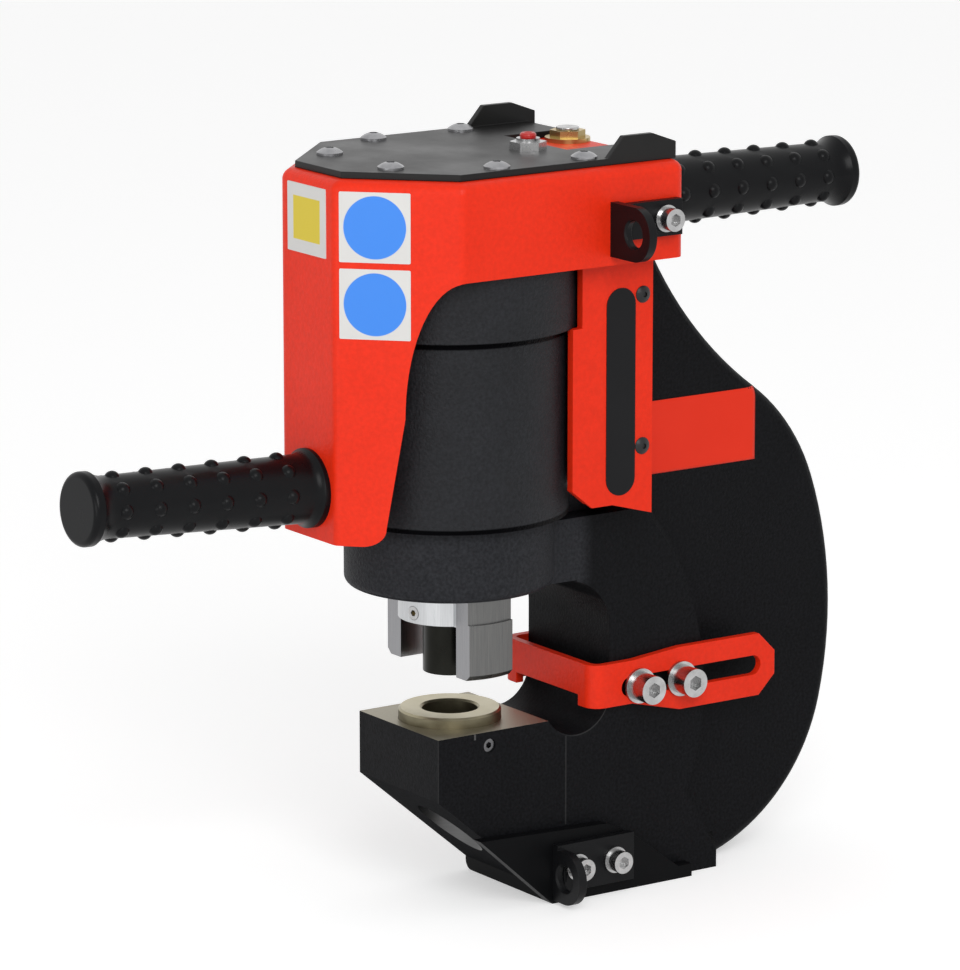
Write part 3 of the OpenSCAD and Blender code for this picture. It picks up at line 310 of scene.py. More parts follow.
# %% [markdown]
# A printed field. The labels are plain, with one block of colour in the middle. A second sheet on top of
# the label would do, but print has no thickness. So the group measures how far a point is from the
# label's own centre and gives a sharp mask, square or round.

# %% Group: printed field
PRINT_EDGE = 0.01  # the print fades over this share of its half size, on both sides of its edge

field, field_in, field_out = group(
    "printed_field",
    [("Half Width", VALUE, 0.01), ("Half Height", VALUE, 0.01), ("Round", VALUE, 0.0)],
    [("Mask", VALUE)],
)
field_spot = axes(field, "Object")
across = calc(field, "DIVIDE", field_spot["X"], field_in["Half Width"])
along = calc(field, "DIVIDE", field_spot["Y"], field_in["Half Height"])
square_far = calc(field, "MAXIMUM", size_of(field, across), size_of(field, along))
far = ramp(field, field_in["Round"], 0.0, 1.0, square_far, distance(field, across, along))
field.links.new(ramp(field, far, 1.0 - PRINT_EDGE, 1.0 + PRINT_EDGE, 1.0, 0.0), field_out["Mask"])
print("group", field.name)

# %% [markdown]
# Most finishes here are the same recipe with other numbers: a drifting colour and roughness, a fine
# relief, and constant values on the shader's own sockets. So one maker writes that recipe. Its first
# half, the shader with a Bump node, is a function of its own for a metal that brings its own colour and
# lines.

# %% Material maker
Finish = namedtuple("Finish", "material tree shader bump tone")


def bumpy_shader(name, metallic, bump, depth, **sockets):
    material = bpy.data.materials.new(name)
    material.use_nodes = True
    tree = material.node_tree
    shader = tree.nodes["Principled BSDF"]
    shader.inputs["Metallic"].default_value = metallic
    for socket, value in sockets.items():
        shader.inputs[socket.replace("_", " ")].default_value = value
    bump_node = add(tree, "ShaderNodeBump", Strength=bump, Distance=depth)
    tree.links.new(bump_node.outputs["Normal"], shader.inputs["Normal"])
    return Finish(material, tree, shader, bump_node, None)


def finish(name, tones, rough, metallic=0.0, patch=30.0, grain_scale=400.0, bump=0.1, depth=0.0002,
           fleck_scale=600.0, fleck_depth=0.0, **sockets):
    """Two tones and two roughness values that drift over the piece, with a fine grain."""
    made = bumpy_shader(name, metallic, bump, depth, **sockets)
    tone = place(made.tree, drift, Color_A=(*tones[0], 1), Color_B=(*tones[1], 1), Scale=patch,
                 Rough_A=rough[0], Rough_B=rough[1], Fleck_Scale=fleck_scale, Fleck_Depth=fleck_depth)
    relief = place(made.tree, grain, Scale=grain_scale)
    made.tree.links.new(tone.outputs["Color"], made.shader.inputs["Base Color"])
    made.tree.links.new(tone.outputs["Roughness"], made.shader.inputs["Roughness"])
    made.tree.links.new(relief.outputs["Height"], made.bump.inputs["Height"])
    return made._replace(tone=tone)


print("material maker ready")

# %% [markdown]
# Sheet metal is powder coated: red on the cowl, the covers and the strap, and black on the bent plates.
# The coat has a fine orange-peel relief and little gloss, so the reflection is kept low and the grain
# fine. The top plate shines a little more and the shoe under the jaw less, so each has a black of its
# own.

# %% Powder coats
# the colour flecks on the red are painted highlights of the orange-peel relief
red_powder = finish("red_powder", ((0.84, 0.029, 0.006), (0.80, 0.026, 0.005)), (0.36, 0.44), grain_scale=620,
                    bump=0.5, depth=0.0004, fleck_scale=480, fleck_depth=0.05, Specular_IOR_Level=0.2)
black_sheet = finish("black_sheet", ((0.0040, 0.0041, 0.0048), (0.006, 0.0062, 0.0070)), (0.34, 0.44),
                     grain_scale=700, bump=0.12, Specular_IOR_Level=0.14)
shoe_black = finish("shoe_black", ((0.0030, 0.0031, 0.0036), (0.0046, 0.0048, 0.0054)), (0.38, 0.48),
                    grain_scale=700, bump=0.12, Specular_IOR_Level=0.06)
plate_black = finish("plate_black", ((0.006, 0.006, 0.006), (0.009, 0.0088, 0.0086)), (0.32, 0.44),
                     grain_scale=600, bump=0.12, Specular_IOR_Level=0.22)
print("powder coats", red_powder.material.name, black_sheet.material.name, shoe_black.material.name,
      plate_black.material.name)

# %% [markdown]
# Rubber and plastic. The grips are moulded rubber with a soft shine on each bump, the seals are dull
# rubber, the guide ring of the piston is a tan filled polymer, and the port has a red plastic plug. None
# is metallic, so colour and roughness tell them apart.

# %% Rubber and plastic
rubber = finish("rubber", ((0.0030, 0.0032, 0.0040), (0.0050, 0.0053, 0.0060)), (0.24, 0.36), grain_scale=800,
                bump=0.10, Specular_IOR_Level=0.12)
seal_black = finish("seal_black", ((0.015, 0.015, 0.015), (0.022, 0.022, 0.022)), (0.5, 0.6))
wear_band = finish("wear_band", ((0.20, 0.15, 0.08), (0.26, 0.20, 0.12)), (0.45, 0.55))
plug_red = finish("plug_red", ((0.55, 0.015, 0.012), (0.46, 0.012, 0.010)), (0.25, 0.32))
print("rubber and plastic", rubber.material.name, seal_black.material.name, wear_band.material.name,
      plug_red.material.name)

# %% [markdown]
# Plated and plain metal. Screws and washers are zinc plated, with small patches from light to grey. The
# other steels differ in how dark they are: black oxide, a dark set screw, the nearly black punch and the
# chromed rod. A metal mirrors the white surroundings, so its colour is set darker than it looks.

# %% Plated and plain metal
zinc = finish("zinc", ((0.52, 0.52, 0.52), (0.36, 0.36, 0.36)), (0.20, 0.32), metallic=1.0, patch=160,
              grain_scale=900)
screw_steel = finish("screw_steel", ((0.40, 0.40, 0.41), (0.27, 0.27, 0.28)), (0.24, 0.36), metallic=1.0,
                     patch=160, grain_scale=900)
dark_screw = finish("dark_screw", ((0.10, 0.10, 0.105), (0.16, 0.16, 0.165)), (0.22, 0.32), metallic=1.0,
                    patch=300, grain_scale=900)
black_oxide = finish("black_oxide", ((0.014, 0.014, 0.015), (0.022, 0.022, 0.023)), (0.35, 0.45),
                     metallic=0.5)
punch_steel = finish("punch_steel", ((0.009, 0.0092, 0.0078), (0.019, 0.019, 0.016)), (0.24, 0.34),
                     metallic=0.9, Specular_IOR_Level=0.2)
brass = finish("brass", ((0.52, 0.39, 0.16), (0.42, 0.31, 0.12)), (0.25, 0.36), metallic=1.0)
chrome = finish("chrome", ((0.70, 0.70, 0.72), (0.64, 0.64, 0.66)), (0.10, 0.17), metallic=1.0)
print("finishes so far", len(bpy.data.materials))

# %% [markdown]
# The frame is painted with black wrinkle paint, but its working faces are not. The jaw's top is bare
# ground steel that has turned tan, and the wall of the slug hole is bare. Each bare face is found from
# where it is and which way it looks, so the solid stays one piece with one material.

# %% Frame paint: bare faces
JAW_TOP_Z = 0.083
SLUG_HOLE_R = 0.0148
FACE_HALF = 0.0003  # a point this close to a face or a line belongs to it
HOLE_FADE = 0.0002
WRINKLE_ROUGH = (0.42, 0.54)
WRINKLE_GRAIN = 900
WRINKLE_FLECKS = 700

# its colour flecks are painted light and shade of the wrinkles
frame_paint = finish("frame_paint", ((0.0046, 0.0048, 0.0057), (0.0064, 0.0066, 0.0077)), WRINKLE_ROUGH,
                     grain_scale=WRINKLE_GRAIN, depth=0.0005, fleck_scale=WRINKLE_FLECKS, fleck_depth=0.45,
                     Specular_IOR_Level=0.06)
tree = frame_paint.tree
spot = axes(tree, "Object")
looks = axes(tree, "Normal")
spot_y = calc(tree, "SUBTRACT", spot["Y"], PUNCH_Y)
axis_far = distance(tree, spot["X"], spot_y)

jaw_top = fold(tree, "MULTIPLY", near(tree, spot["Z"], JAW_TOP_Z, FACE_HALF),
               ramp(tree, looks["Z"], 0.8, 0.9))
inside_hole = ramp(tree, axis_far, SLUG_HOLE_R, SLUG_HOLE_R + HOLE_FADE, 1.0, 0.0)
under_top = ramp(tree, spot["Z"], JAW_TOP_Z - 2 * HOLE_FADE, JAW_TOP_Z - HOLE_FADE, 1.0, 0.0)
upright_face = ramp(tree, size_of(tree, looks["Z"]), 0.3, 0.4, 1.0, 0.0)
hole_wall = fold(tree, "MULTIPLY", inside_hole, under_top, upright_face)
print("bare faces on", frame_paint.material.name)

# %% [markdown]
# Paint wears first where a hand or the work rubs: the jaw's front corners. A light line runs along the
# rear half of the rim of the milled relief. The side of the jaw also has a painted highlight along the
# step where the jaw meets the column, and a short tick. Such hair lines are too fine for the solid, so
# they are masks in the paint.

# %% Frame paint: worn edges, lines and a painted highlight
RELIEF_Y = 0.047
RELIEF_Z = 0.0925
RELIEF_R = 0.0183
RELIEF_RIM_HALF = 0.00025
RIM_FADE_START, RIM_FADE_END = 0.036, 0.05
STEP_HIGHLIGHT_Y = 0.0413
STEP_HIGHLIGHT_Z = 0.0543
STEP_HIGHLIGHT_HALF = 0.0205
TICK_Y = -0.0079
TICK_Z = 0.0818
TICK_HALF_WIDTH = 0.0004
TICK_HALF = 0.0015
JAW_FRONT_Y = -0.0275
JAW_HALF_WIDTH = 0.0315

side_face = ramp(tree, size_of(tree, looks["X"]), 0.9, 0.95)
relief_far = distance(tree, calc(tree, "SUBTRACT", spot_y, RELIEF_Y),
                      calc(tree, "SUBTRACT", spot["Z"], RELIEF_Z))
relief_rim = fold(tree, "MULTIPLY", near(tree, relief_far, RELIEF_R, RELIEF_RIM_HALF), side_face,
                  ramp(tree, spot_y, RIM_FADE_START, RIM_FADE_END))
# painted highlight: a light line along the step where the jaw meets the column
step_highlight = fold(tree, "MULTIPLY", near(tree, spot_y, STEP_HIGHLIGHT_Y, FACE_HALF),
               near(tree, spot["Z"], STEP_HIGHLIGHT_Z, STEP_HIGHLIGHT_HALF), side_face)
tick = fold(tree, "MULTIPLY", near(tree, spot_y, TICK_Y, TICK_HALF_WIDTH),
            near(tree, spot["Z"], TICK_Z, TICK_HALF), side_face)
jaw_corner = fold(tree, "MULTIPLY", near(tree, size_of(tree, spot["X"]), JAW_HALF_WIDTH, FACE_HALF),
                  near(tree, spot_y, JAW_FRONT_Y, FACE_HALF))

# the list holds worn corners, the relief rim line, the tick and one painted highlight
WEAR_AND_HIGHLIGHT = ((jaw_corner, 0.15), (relief_rim, 0.22), (step_highlight, 0.17), (tick, 0.7))
worn_and_highlit = [calc(tree, "MULTIPLY", mark, strength) for mark, strength in WEAR_AND_HIGHLIGHT]
bare_and_highlit = fold(tree, "MAXIMUM", jaw_top, hole_wall, *worn_and_highlit)
print("worn marks", len(WEAR_AND_HIGHLIGHT))

# %% [markdown]
# Now the masks choose between paint and steel. The ring boss is painted a lighter black than the rest of
# the frame, as a painted sheen. The underside of the nose is rougher, and the wrinkles are weaker low
# on the jaw. Colour, metal, roughness and relief all use the same masks, so they agree.

# %% Frame paint: colour, metal and relief
BOSS_LOW, BOSS_HIGH = 0.140, 0.146
BOSS_R_INSIDE, BOSS_R_OUTSIDE = 0.058, 0.064
SMOOTH_Z, WRINKLED_Z = 0.10, 0.15
SMOOTH_RELIEF = 0.35
BARE_METAL = 0.9
BARE_ROUGH = 0.40
NOSE_ROUGH = 0.95

tracks = place(tree, marks)
tan_steel = blend(tree, tracks.outputs["Upright"], (0.25, 0.22, 0.16, 1), (0.40, 0.37, 0.29, 1))
grey_steel = blend(tree, tracks.outputs["Level"], (0.09, 0.09, 0.09, 1), (0.16, 0.16, 0.16, 1))
steel = blend(tree, jaw_top, grey_steel, tan_steel)
boss_sheen = fold(tree, "MULTIPLY", ramp(tree, spot["Z"], BOSS_LOW, BOSS_HIGH),
            ramp(tree, axis_far, BOSS_R_INSIDE, BOSS_R_OUTSIDE, 1.0, 0.0))
# painted sheen: the boss gets a lighter copy of the frame's black
boss_sheen_tone = place(tree, drift, Color_A=(0.0215, 0.0223, 0.0255, 1), Color_B=(0.0270, 0.0279, 0.0315, 1),
                  Fleck_Scale=WRINKLE_FLECKS, Fleck_Depth=0.3)
paint = blend(tree, boss_sheen, frame_paint.tone.outputs["Color"], boss_sheen_tone.outputs["Color"])
tree.links.new(blend(tree, bare_and_highlit, paint, steel), frame_paint.shader.inputs["Base Color"])
tree.links.new(calc(tree, "MULTIPLY", bare_and_highlit, BARE_METAL), frame_paint.shader.inputs["Metallic"])

nose_under = fold(tree, "MULTIPLY", ramp(tree, looks["Z"], -0.6, -0.45, 1.0, 0.0),
                  ramp(tree, looks["Y"], -0.5, -0.35, 1.0, 0.0))
rubbed = calc(tree, "MINIMUM", frame_paint.tone.outputs["Roughness"],
              ramp(tree, bare_and_highlit, 0.0, 1.0, 1.0, BARE_ROUGH))
rough = calc(tree, "MAXIMUM", rubbed, calc(tree, "MULTIPLY", nose_under, NOSE_ROUGH))
tree.links.new(rough, frame_paint.shader.inputs["Roughness"])
wrinkles = ramp(tree, spot["Z"], SMOOTH_Z, WRINKLED_Z, SMOOTH_RELIEF, 1.0)
relief = calc(tree, "MULTIPLY", calc(tree, "SUBTRACT", 1.0, bare_and_highlit), wrinkles)
tree.links.new(relief, frame_paint.bump.inputs["Strength"])
print("frame paint nodes", len(tree.nodes))

# %% [markdown]
# The cylinder has the same wrinkle paint, set lighter than the frame's as a painted sheen. A dark band
# runs round it under the head and another above the ring boss: painted shade of the overhang of the head
# and of the groove at each joint. A groove in the solid would need many faces for a hair line, so the
# shade is dark bands in the paint, placed from the barrel's box.

# %% Cylinder paint with painted sheen and painted joint shade
HEAD_SHADE_DOWN, HEAD_SHADE_HALF = 0.0015, 0.0013
BOSS_SHADE_UP, BOSS_SHADE_HALF = 0.0010, 0.0008
SHADE_SOFT = 0.0006

# painted sheen: a lighter black than the frame's paint, flecked with painted light and shade of the wrinkles
wrinkle_black_sheen = finish("wrinkle_black_sheen", ((0.0115, 0.0120, 0.0140), (0.0165, 0.0172, 0.0200)), WRINKLE_ROUGH,
                       grain_scale=WRINKLE_GRAIN, bump=1.0, depth=0.0006, fleck_scale=WRINKLE_FLECKS,
                       fleck_depth=0.3, Specular_IOR_Level=0.16)
tree = wrinkle_black_sheen.tree
barrel_low, barrel_top = (corner[2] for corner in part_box("cylinder_barrel"))
height = axes(tree, "Object")["Z"]
# painted shade: a dark band under the head and one above the ring boss
joint_shade = fold(tree, "MAXIMUM", near(tree, height, barrel_top - HEAD_SHADE_DOWN, HEAD_SHADE_HALF, SHADE_SOFT),
             near(tree, height, barrel_low + BOSS_SHADE_UP, BOSS_SHADE_HALF, SHADE_SOFT))
barrel_color = blend(tree, joint_shade, wrinkle_black_sheen.tone.outputs["Color"], (0.002, 0.002, 0.0024, 1))
tree.links.new(barrel_color, wrinkle_black_sheen.shader.inputs["Base Color"])
tree.links.new(joint_shade, wrinkle_black_sheen.shader.inputs["Metallic"])
print("joints near", round(barrel_low, 4), "and", round(barrel_top, 4))

# %% [markdown]
# The stripper is milled from aluminium. Its collar is painted lighter as a painted highlight, its legs
# are painted greyer, and the outer sides of the legs darker still as a painted reflection of dark
# surroundings. Fine upright lines go into colour, roughness and height together, because a real
# tool mark changes all three.

# %% Milled aluminium
LEG_X = 0.0220  # the collar ends here and the legs begin
LEG_FADE = 0.0001

alu = bumpy_shader("alu", metallic=1.0, bump=0.12, depth=0.0001)
tree = alu.tree
upright = place(tree, marks).outputs["Upright"]
leg = ramp(tree, size_of(tree, axes(tree, "Object")["X"]), LEG_X - LEG_FADE, LEG_X + LEG_FADE)
facing_out_shade = ramp(tree, size_of(tree, axes(tree, "Normal")["X"]), 0.55, 0.75)
streaks = ramp(tree, upright, 0.25, 0.75)
# painted highlight on the collar, painted shade on the legs and darker still on their outer sides
collar_highlight_tone = blend(tree, streaks, (0.44, 0.45, 0.46, 1), (0.60, 0.61, 0.62, 1))
leg_shade_tone = blend(tree, streaks, (0.24, 0.24, 0.25, 1), (0.32, 0.32, 0.33, 1))
outer_shade_tone = blend(tree, streaks, (0.11, 0.11, 0.11, 1), (0.17, 0.17, 0.165, 1))
alu_color = blend(tree, calc(tree, "MULTIPLY", leg, facing_out_shade), blend(tree, leg, collar_highlight_tone, leg_shade_tone), outer_shade_tone)
tree.links.new(alu_color, alu.shader.inputs["Base Color"])
tree.links.new(ramp(tree, upright, NOISE_LOW, NOISE_HIGH, 0.25, 0.42), alu.shader.inputs["Roughness"])
tree.links.new(upright, alu.bump.inputs["Height"])
print("milled metal", alu.material.name)

# %% [markdown]
# The die is ground tool steel with a tan tint, and its top face is brighter. Two materials would need
# two slots on the mesh, so the way a face looks chooses the colour.

# %% Ground die
die_steel = finish("die_steel", ((0.13, 0.115, 0.075), (0.20, 0.18, 0.12)), (0.30, 0.40), metallic=0.95,
                   patch=90, bump=0.08)
tree = die_steel.tree
ground_top = ramp(tree, axes(tree, "Normal")["Z"], 0.6, 0.8)
die_color = blend(tree, ground_top, die_steel.tone.outputs["Color"], (0.50, 0.45, 0.31, 1))
tree.links.new(die_color, die_steel.shader.inputs["Base Color"])
print("ground metal", die_steel.material.name)

# %% [markdown]
# Every solid gets its finish. A solid's mesh is never changed; only its material slot is filled. The
# list goes by finish and not by piece, because that shows at a glance which pieces were painted or
# plated together.

# %% Dress the solids
LOOKS = (
    (frame_paint, ["c_frame"]),
    (wrinkle_black_sheen, ["cylinder_barrel", "cylinder_head"]),
    (red_powder, ["cowl", "side_cover_right", "side_cover_left", "material_stop"]),
    (black_sheet, ["upper_lug", "lower_lug"]),
    (shoe_black, ["foot_shoe"]),
    (plate_black, ["top_plate"]),
    (rubber, ["front_grip", "rear_grip"]),
    (seal_black, ["rod_seal", "rod_wiper", "head_seal", "piston_seal"]),
    (wear_band, ["piston_guide_ring"]),
    (zinc, ["stop_bolts", "stop_washers", "cowl_bolts", "cowl_washers", "foot_bolts", "foot_washers",
            "cowl_nuts", "handle_nuts", "front_handle_tube", "rear_handle_tube", "advance_port_fitting",
            "coupling_cap", "piston", "piston_nut", "return_pipe", "pipe_banjos", "stripper_set_screw"]),
    (screw_steel, ["top_plate_screws"]),
    (dark_screw, ["die_set_screw"]),
    (black_oxide, ["side_cover_screws"]),
    (alu, ["stripper"]),
    (die_steel, ["die"]),
    (punch_steel, ["punch", "punch_nut"]),
    (brass, ["guide_bush", "return_coupling"]),
    (chrome, ["ram_rod"]),
    (plug_red, ["port_plug"]),
)
for look, names in LOOKS:
    for name in names:
        mesh = NODES[name].data
        mesh.materials.clear()
        mesh.materials.append(look.material)
print("dressed", sum(len(names) for look, names in LOOKS), "of", len(NODES), "nodes")

# %% [markdown]
# Folded sheet, laser-cut plate and milled blocks have edges that are broken or rounded a little, and
# that edge is what catches the light. The solids have sharp edges, so these pieces are copied, their
# flat triangles are joined into whole faces, and a bevel rounds each corner that is sharper than a third
# of a right angle. Weighted normals then let the large flat faces set the shading, so that light runs
# over a sheet without creases.

# %% Softened edges
JOIN_DISTANCE = 2e-6
FLAT_ANGLE = math.radians(0.6)
SHARP_ANGLE = math.radians(30)
BEVEL_STEPS = 2
FLAT_FACE_WEIGHT = 90


def softened(node, width):
    mesh = NODES[node].data.copy()
    mesh.name = node + "_soft"
    work = bmesh.new()
    work.from_mesh(mesh)
    bmesh.ops.remove_doubles(work, verts=work.verts, dist=JOIN_DISTANCE)
    bmesh.ops.dissolve_limit(work, angle_limit=FLAT_ANGLE, verts=work.verts, edges=work.edges)
    for face in work.faces:
        face.smooth = True
    work.to_mesh(mesh)
    work.free()
    piece = bpy.data.objects.new(node + "_soft", mesh)
    SCENE.collection.objects.link(piece)
    bevel = piece.modifiers.new("edge", "BEVEL")
    bevel.width = width
    bevel.segments = BEVEL_STEPS
    bevel.limit_method = "ANGLE"
    bevel.angle_limit = SHARP_ANGLE
    even = piece.modifiers.new("even", "WEIGHTED_NORMAL")
    even.mode = "FACE_AREA"
    even.weight = FLAT_FACE_WEIGHT
    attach(piece, BODY_OF[node])
    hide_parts(node)


EDGE_WIDTHS = {
    "top_plate": 0.0008,
    "foot_shoe": 0.0012,
    "upper_lug": 0.0007,
    "lower_lug": 0.0007,
    "material_stop": 0.0006,
    "side_cover_right": 0.0006,
    "side_cover_left": 0.0006,
    "stripper": 0.0006,
}
for node, width in EDGE_WIDTHS.items():
    softened(node, width)
print("softened", sorted(EDGE_WIDTHS))

# %% [markdown]
# Labels. The cowl, the side covers and the web carry plain stickers. A sticker could be a patch of
# colour in the paint, but a real one has an edge that casts a hair of shadow. So it is a thin sheet with
# rounded corners, built flat round its own centre and then laid on its panel.

# %% Label sheets
LABEL_THICK = 0.0003
CORNER_STEPS = 10
UPWARD = Vector((0, 0, 1))


def label(name, middle, across, size, corner, look):
    """An upright sheet of size (width, height) that runs along across; its back lies on the panel."""
    work = bmesh.new()
    for side_x, side_y, start in ((1, 1, 0), (-1, 1, 90), (-1, -1, 180), (1, -1, 270)):
        for step in range(CORNER_STEPS + 1):
            turn = math.radians(start + 90 * step / CORNER_STEPS)
            work.verts.new((side_x * (size[0] / 2 - corner) + corner * math.cos(turn),
                            side_y * (size[1] / 2 - corner) + corner * math.sin(turn), 0))
    grown = bmesh.ops.extrude_face_region(work, geom=[work.faces.new(list(work.verts))])
    front = [part for part in grown["geom"] if isinstance(part, bmesh.types.BMVert)]
    bmesh.ops.translate(work, verts=front, vec=(0, 0, LABEL_THICK))
    bmesh.ops.recalc_face_normals(work, faces=work.faces)
    mesh = bpy.data.meshes.new(name)
    work.to_mesh(mesh)
    work.free()
    mesh.materials.append(look.material)
    piece = bpy.data.objects.new(name, mesh)
    SCENE.collection.objects.link(piece)
    turned = Matrix((across, UPWARD, across.cross(UPWARD))).transposed().to_4x4()
    piece.matrix_world = Matrix.Translation(middle) @ turned
    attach(piece, "frame")


print("label sheets", LABEL_THICK, "m thick")

# %% [markdown]
# Printed white film. A sticker is smooth, so it has a little gloss and hardly any grain. The printed
# field comes from the shared group; only its colour and its half sizes differ.

# %% Label films
WHITE = (0.71, 0.70, 0.68)
BLUE = (0.031, 0.235, 0.82)
YELLOW = (0.72, 0.56, 0.02)
FILM_ROUGH = (0.30, 0.38)
FILM_GRAIN = 500
HANDLED = 0.94  # the darker patches have this share of the film's colour
DISC_R = 0.0137
BLOCK_HALF_WIDTH = 0.0105
BLOCK_HALF_HEIGHT = 0.0095


def printed(name, ink, half_width, half_height, is_round):
    film = finish(name, (WHITE, [c * HANDLED for c in WHITE]), FILM_ROUGH, grain_scale=FILM_GRAIN, bump=0.03)
    mask = place(film.tree, field, Half_Width=half_width, Half_Height=half_height, Round=is_round)
    color = blend(film.tree, mask.outputs["Mask"], film.tone.outputs["Color"], (*ink, 1))
    film.tree.links.new(color, film.shader.inputs["Base Color"])
    return film


blue_disc = printed("label_blue", BLUE, DISC_R, DISC_R, 1.0)
yellow_block = printed("label_yellow", YELLOW, BLOCK_HALF_WIDTH, BLOCK_HALF_HEIGHT, 0.0)
print("films", blue_disc.material.name, yellow_block.material.name)

# %% [markdown]
# The cowl has two labels one above the other on its slanted panel, and one on the flat front. A place on
# the slanted panel is easiest to give as a distance along it, so a small function turns that into a
# point.

# %% Labels on the cowl
COWL_FRONT = (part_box("cowl")[0][1] - PUNCH_Y) / MM
SLANT_START = 20.6  # the flat front ends at this X and the slanted panel begins
SLANT_ALONG = 18.0
UPPER_Z = 315.1
LOWER_Z = 281.7
FRONT_X = -0.3
FRONT_Z = 315.2
SLANT_SIZE = (0.0312, 0.0306)
FRONT_SIZE = (0.0302, 0.0302)
LABEL_CORNER = 0.0006


def on_slant(along, z):
    """A point on the slanted panel, so many millimetres along it from the flat front."""
    reach = along / math.sqrt(2)
    return at(SLANT_START + reach, COWL_FRONT + reach, z)


slant = Vector((1, 1, 0)).normalized()
for name, z in (("label_upper_right", UPPER_Z), ("label_lower_right", LOWER_Z)):
    label(name, on_slant(SLANT_ALONG, z), slant, SLANT_SIZE, LABEL_CORNER, blue_disc)
label("label_front", at(FRONT_X, COWL_FRONT, FRONT_Z), Vector((1, 0, 0)), FRONT_SIZE, LABEL_CORNER,
      yellow_block)
print("cowl front at", round(COWL_FRONT, 2), "mm from the punch axis")

# %% [markdown]
# Each side cover has a long black field with round ends. It is a label like the others, with corners
# nearly as wide as half its width. The left cover is the mirror image of the right one, so one loop lays
# both.

# %% Black fields on the side covers
COVER_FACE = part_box("side_cover_right")[1][0] / MM
FIELD_Y = 57.7
FIELD_Z = 232.5
FIELD_SIZE = (0.0156, 0.0930)
FIELD_CORNER = 0.00775

field_black = finish("field_black", ((0.005, 0.005, 0.006), (0.007, 0.007, 0.008)), FILM_ROUGH,
                     grain_scale=FILM_GRAIN, bump=0.04, Specular_IOR_Level=0.15)
for name, side in (("field_right", 1), ("field_left", -1)):
    label(name, at(side * COVER_FACE, FIELD_Y, FIELD_Z), Vector((0, side, 0)), FIELD_SIZE, FIELD_CORNER,
          field_black)
print("cover faces", round(COVER_FACE, 2), "mm from the middle")

# %% [markdown]
# The web carries a plain red label. Its rear corner runs on to the rounded rim, where a flat sheet would
# stand off. So it is a grid of points that follow the web's flat side and then the rim's curve, and a
# modifier gives the sheet its thickness.

# %% Red label on the web
RIM_Y = 100.0
RIM_Z = 141.87
RIM_R = 95.0
RIM_EDGE = 5.0
WEB_HALF = 20.0
WEB_GAP = 0.05
LABEL_Y, LABEL_LENGTH = 84, 70
LABEL_Z, LABEL_HEIGHT = 185.5, 33.5
COLS, ROWS = 48, 28

label_red = finish("label_red", ((0.82, 0.030, 0.007), (0.78, 0.027, 0.006)), FILM_ROUGH,
                   grain_scale=FILM_GRAIN, bump=0.03, Specular_IOR_Level=0.2)


def web_side(y, z):
    """Half width of the web at a point of its side, in millimetres."""
    past = math.hypot(y - RIM_Y, z - RIM_Z) - (RIM_R - RIM_EDGE)
    if past <= 0:
        return WEB_HALF
    return WEB_HALF - RIM_EDGE + math.sqrt(max(RIM_EDGE ** 2 - past ** 2, 0.0))


def corner_at(col, row):
    return row * (COLS + 1) + col


points = []
for row in range(ROWS + 1):
    z = LABEL_Z + LABEL_HEIGHT * row / ROWS
    for col in range(COLS + 1):
        y = LABEL_Y + LABEL_LENGTH * col / COLS
        points.append(at(web_side(y, z) + WEB_GAP, y, z))
quads = [(corner_at(col, row), corner_at(col + 1, row), corner_at(col + 1, row + 1), corner_at(col, row + 1))
         for row in range(ROWS) for col in range(COLS)]
web_mesh = bpy.data.meshes.new("web_label")
web_mesh.from_pydata(points, [], quads)
for face in web_mesh.polygons:
    face.use_smooth = True
web_mesh.materials.append(label_red.material)
web_label = bpy.data.objects.new("web_label", web_mesh)
SCENE.collection.objects.link(web_label)
sheet = web_label.modifiers.new("sheet", "SOLIDIFY")
sheet.thickness = LABEL_THICK
sheet.offset = 1.0
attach(web_label, "frame")
print("web label", len(web_mesh.polygons), "faces")

# %% [markdown]
# The machine stands on a plain white ground. More lamps would make the floor white, but would also wash
# out the paint. So a little light of its own lifts the floor to white, only for the camera and for rays
# that a shiny surface throws back, and the floor still shows a soft shadow. The world does the same.

# %% Floor and world
FLOOR_HALF = 6
FLOOR_GREY = (0.8, 0.8, 0.8, 1)
FLOOR_ROUGH = 0.9
FLOOR_GLOW = 0.45
SKY_LIGHT = 0.55
WHITE_LIGHT = (1, 1, 1, 1)


def seen_rays(tree):
    """1 for rays from the camera, from a shiny surface or through glass."""
    path = add(tree, "ShaderNodeLightPath").outputs
    return fold(tree, "MAXIMUM", path["Is Camera Ray"], path["Is Glossy Ray"], path["Is Transmission Ray"])


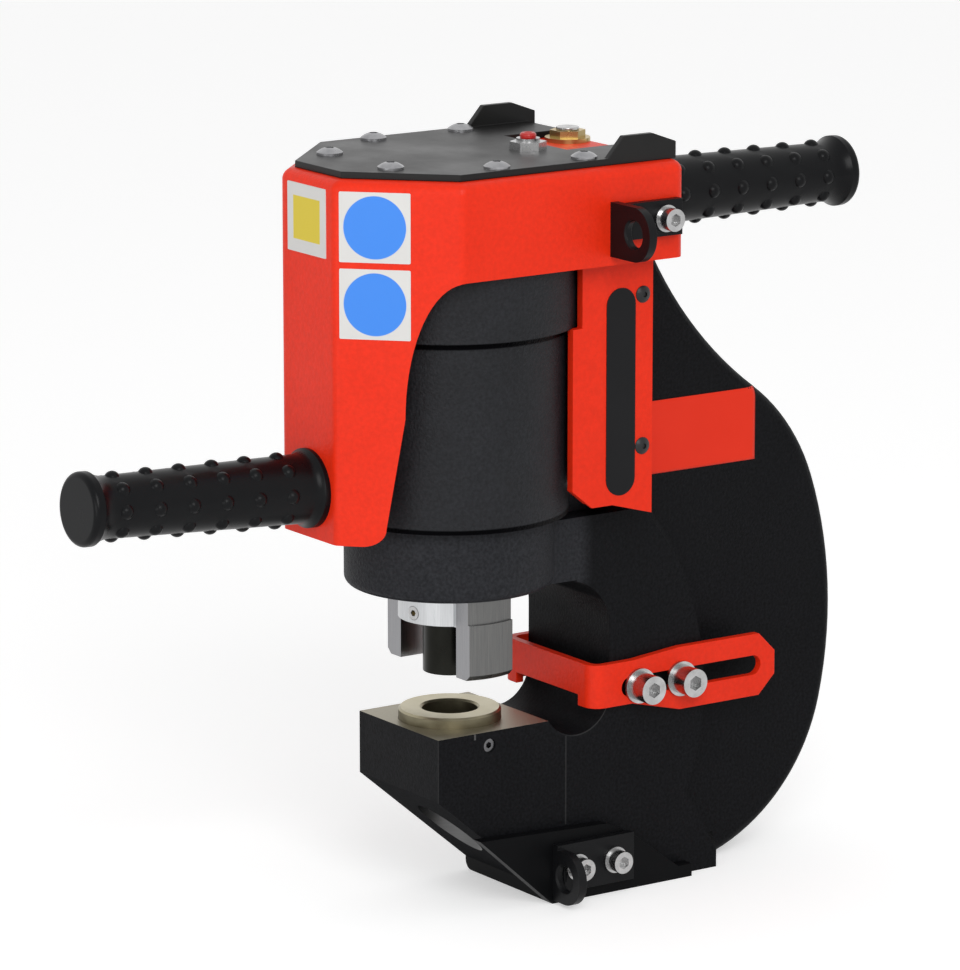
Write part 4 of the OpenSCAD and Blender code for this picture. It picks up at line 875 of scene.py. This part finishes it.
floor_mesh = bpy.data.meshes.new("floor")
floor_corners = [(x * FLOOR_HALF, y * FLOOR_HALF, 0) for x, y in ((-1, -1), (1, -1), (1, 1), (-1, 1))]
floor_mesh.from_pydata(floor_corners, [], [(0, 1, 2, 3)])
floor = bpy.data.objects.new("floor", floor_mesh)
SCENE.collection.objects.link(floor)
floor_paint = bpy.data.materials.new("floor_paint")
floor_paint.use_nodes = True
tree = floor_paint.node_tree
floor_shader = tree.nodes["Principled BSDF"].inputs
floor_shader["Base Color"].default_value = FLOOR_GREY
floor_shader["Roughness"].default_value = FLOOR_ROUGH
floor_shader["Emission Color"].default_value = WHITE_LIGHT
tree.links.new(calc(tree, "MULTIPLY", seen_rays(tree), FLOOR_GLOW), floor_shader["Emission Strength"])
floor_mesh.materials.append(floor_paint)

world = bpy.data.worlds.new("studio")
SCENE.world = world
world.use_nodes = True
sky = world.node_tree
background = sky.nodes["Background"].inputs
background["Color"].default_value = WHITE_LIGHT
sky.links.new(ramp(sky, seen_rays(sky), 0.0, 1.0, SKY_LIGHT, 1.0), background["Strength"])
print("floor and world set")

# %% [markdown]
# Two broad soft lamps light the machine as in a small studio. The main one is high on the right. A
# weaker one, low in front, puts a soft sheen on the cowl's slanted panel. Small lamps would give hard
# spots on the zinc, so both are large, and weak enough that white labels and zinc keep their detail.

# %% Lamps
LAMP_AIM = Vector((0, 0, 0.2))


def soft_lamp(name, stand, size, power):
    data = bpy.data.lights.new(name, "AREA")
    data.shape = "RECTANGLE"
    data.size, data.size_y = size
    data.energy = power
    lamp = bpy.data.objects.new(name, data)
    lamp.location = stand
    lamp.rotation_euler = (LAMP_AIM - Vector(stand)).to_track_quat("-Z", "Y").to_euler()
    SCENE.collection.objects.link(lamp)


soft_lamp("key", stand=(1.9, -0.9, 1.5), size=(1.2, 1.2), power=25)
soft_lamp("front", stand=(0.7, -2.1, 0.40), size=(1.2, 0.7), power=6.5)
print("lamps", len(bpy.data.lights))

# %% [markdown]
# The Standard view shows each colour about as it is written, where a film-like view would grey the reds.

# %% View
SCENE.view_settings.view_transform = "Standard"
bpy.context.view_layer.update()
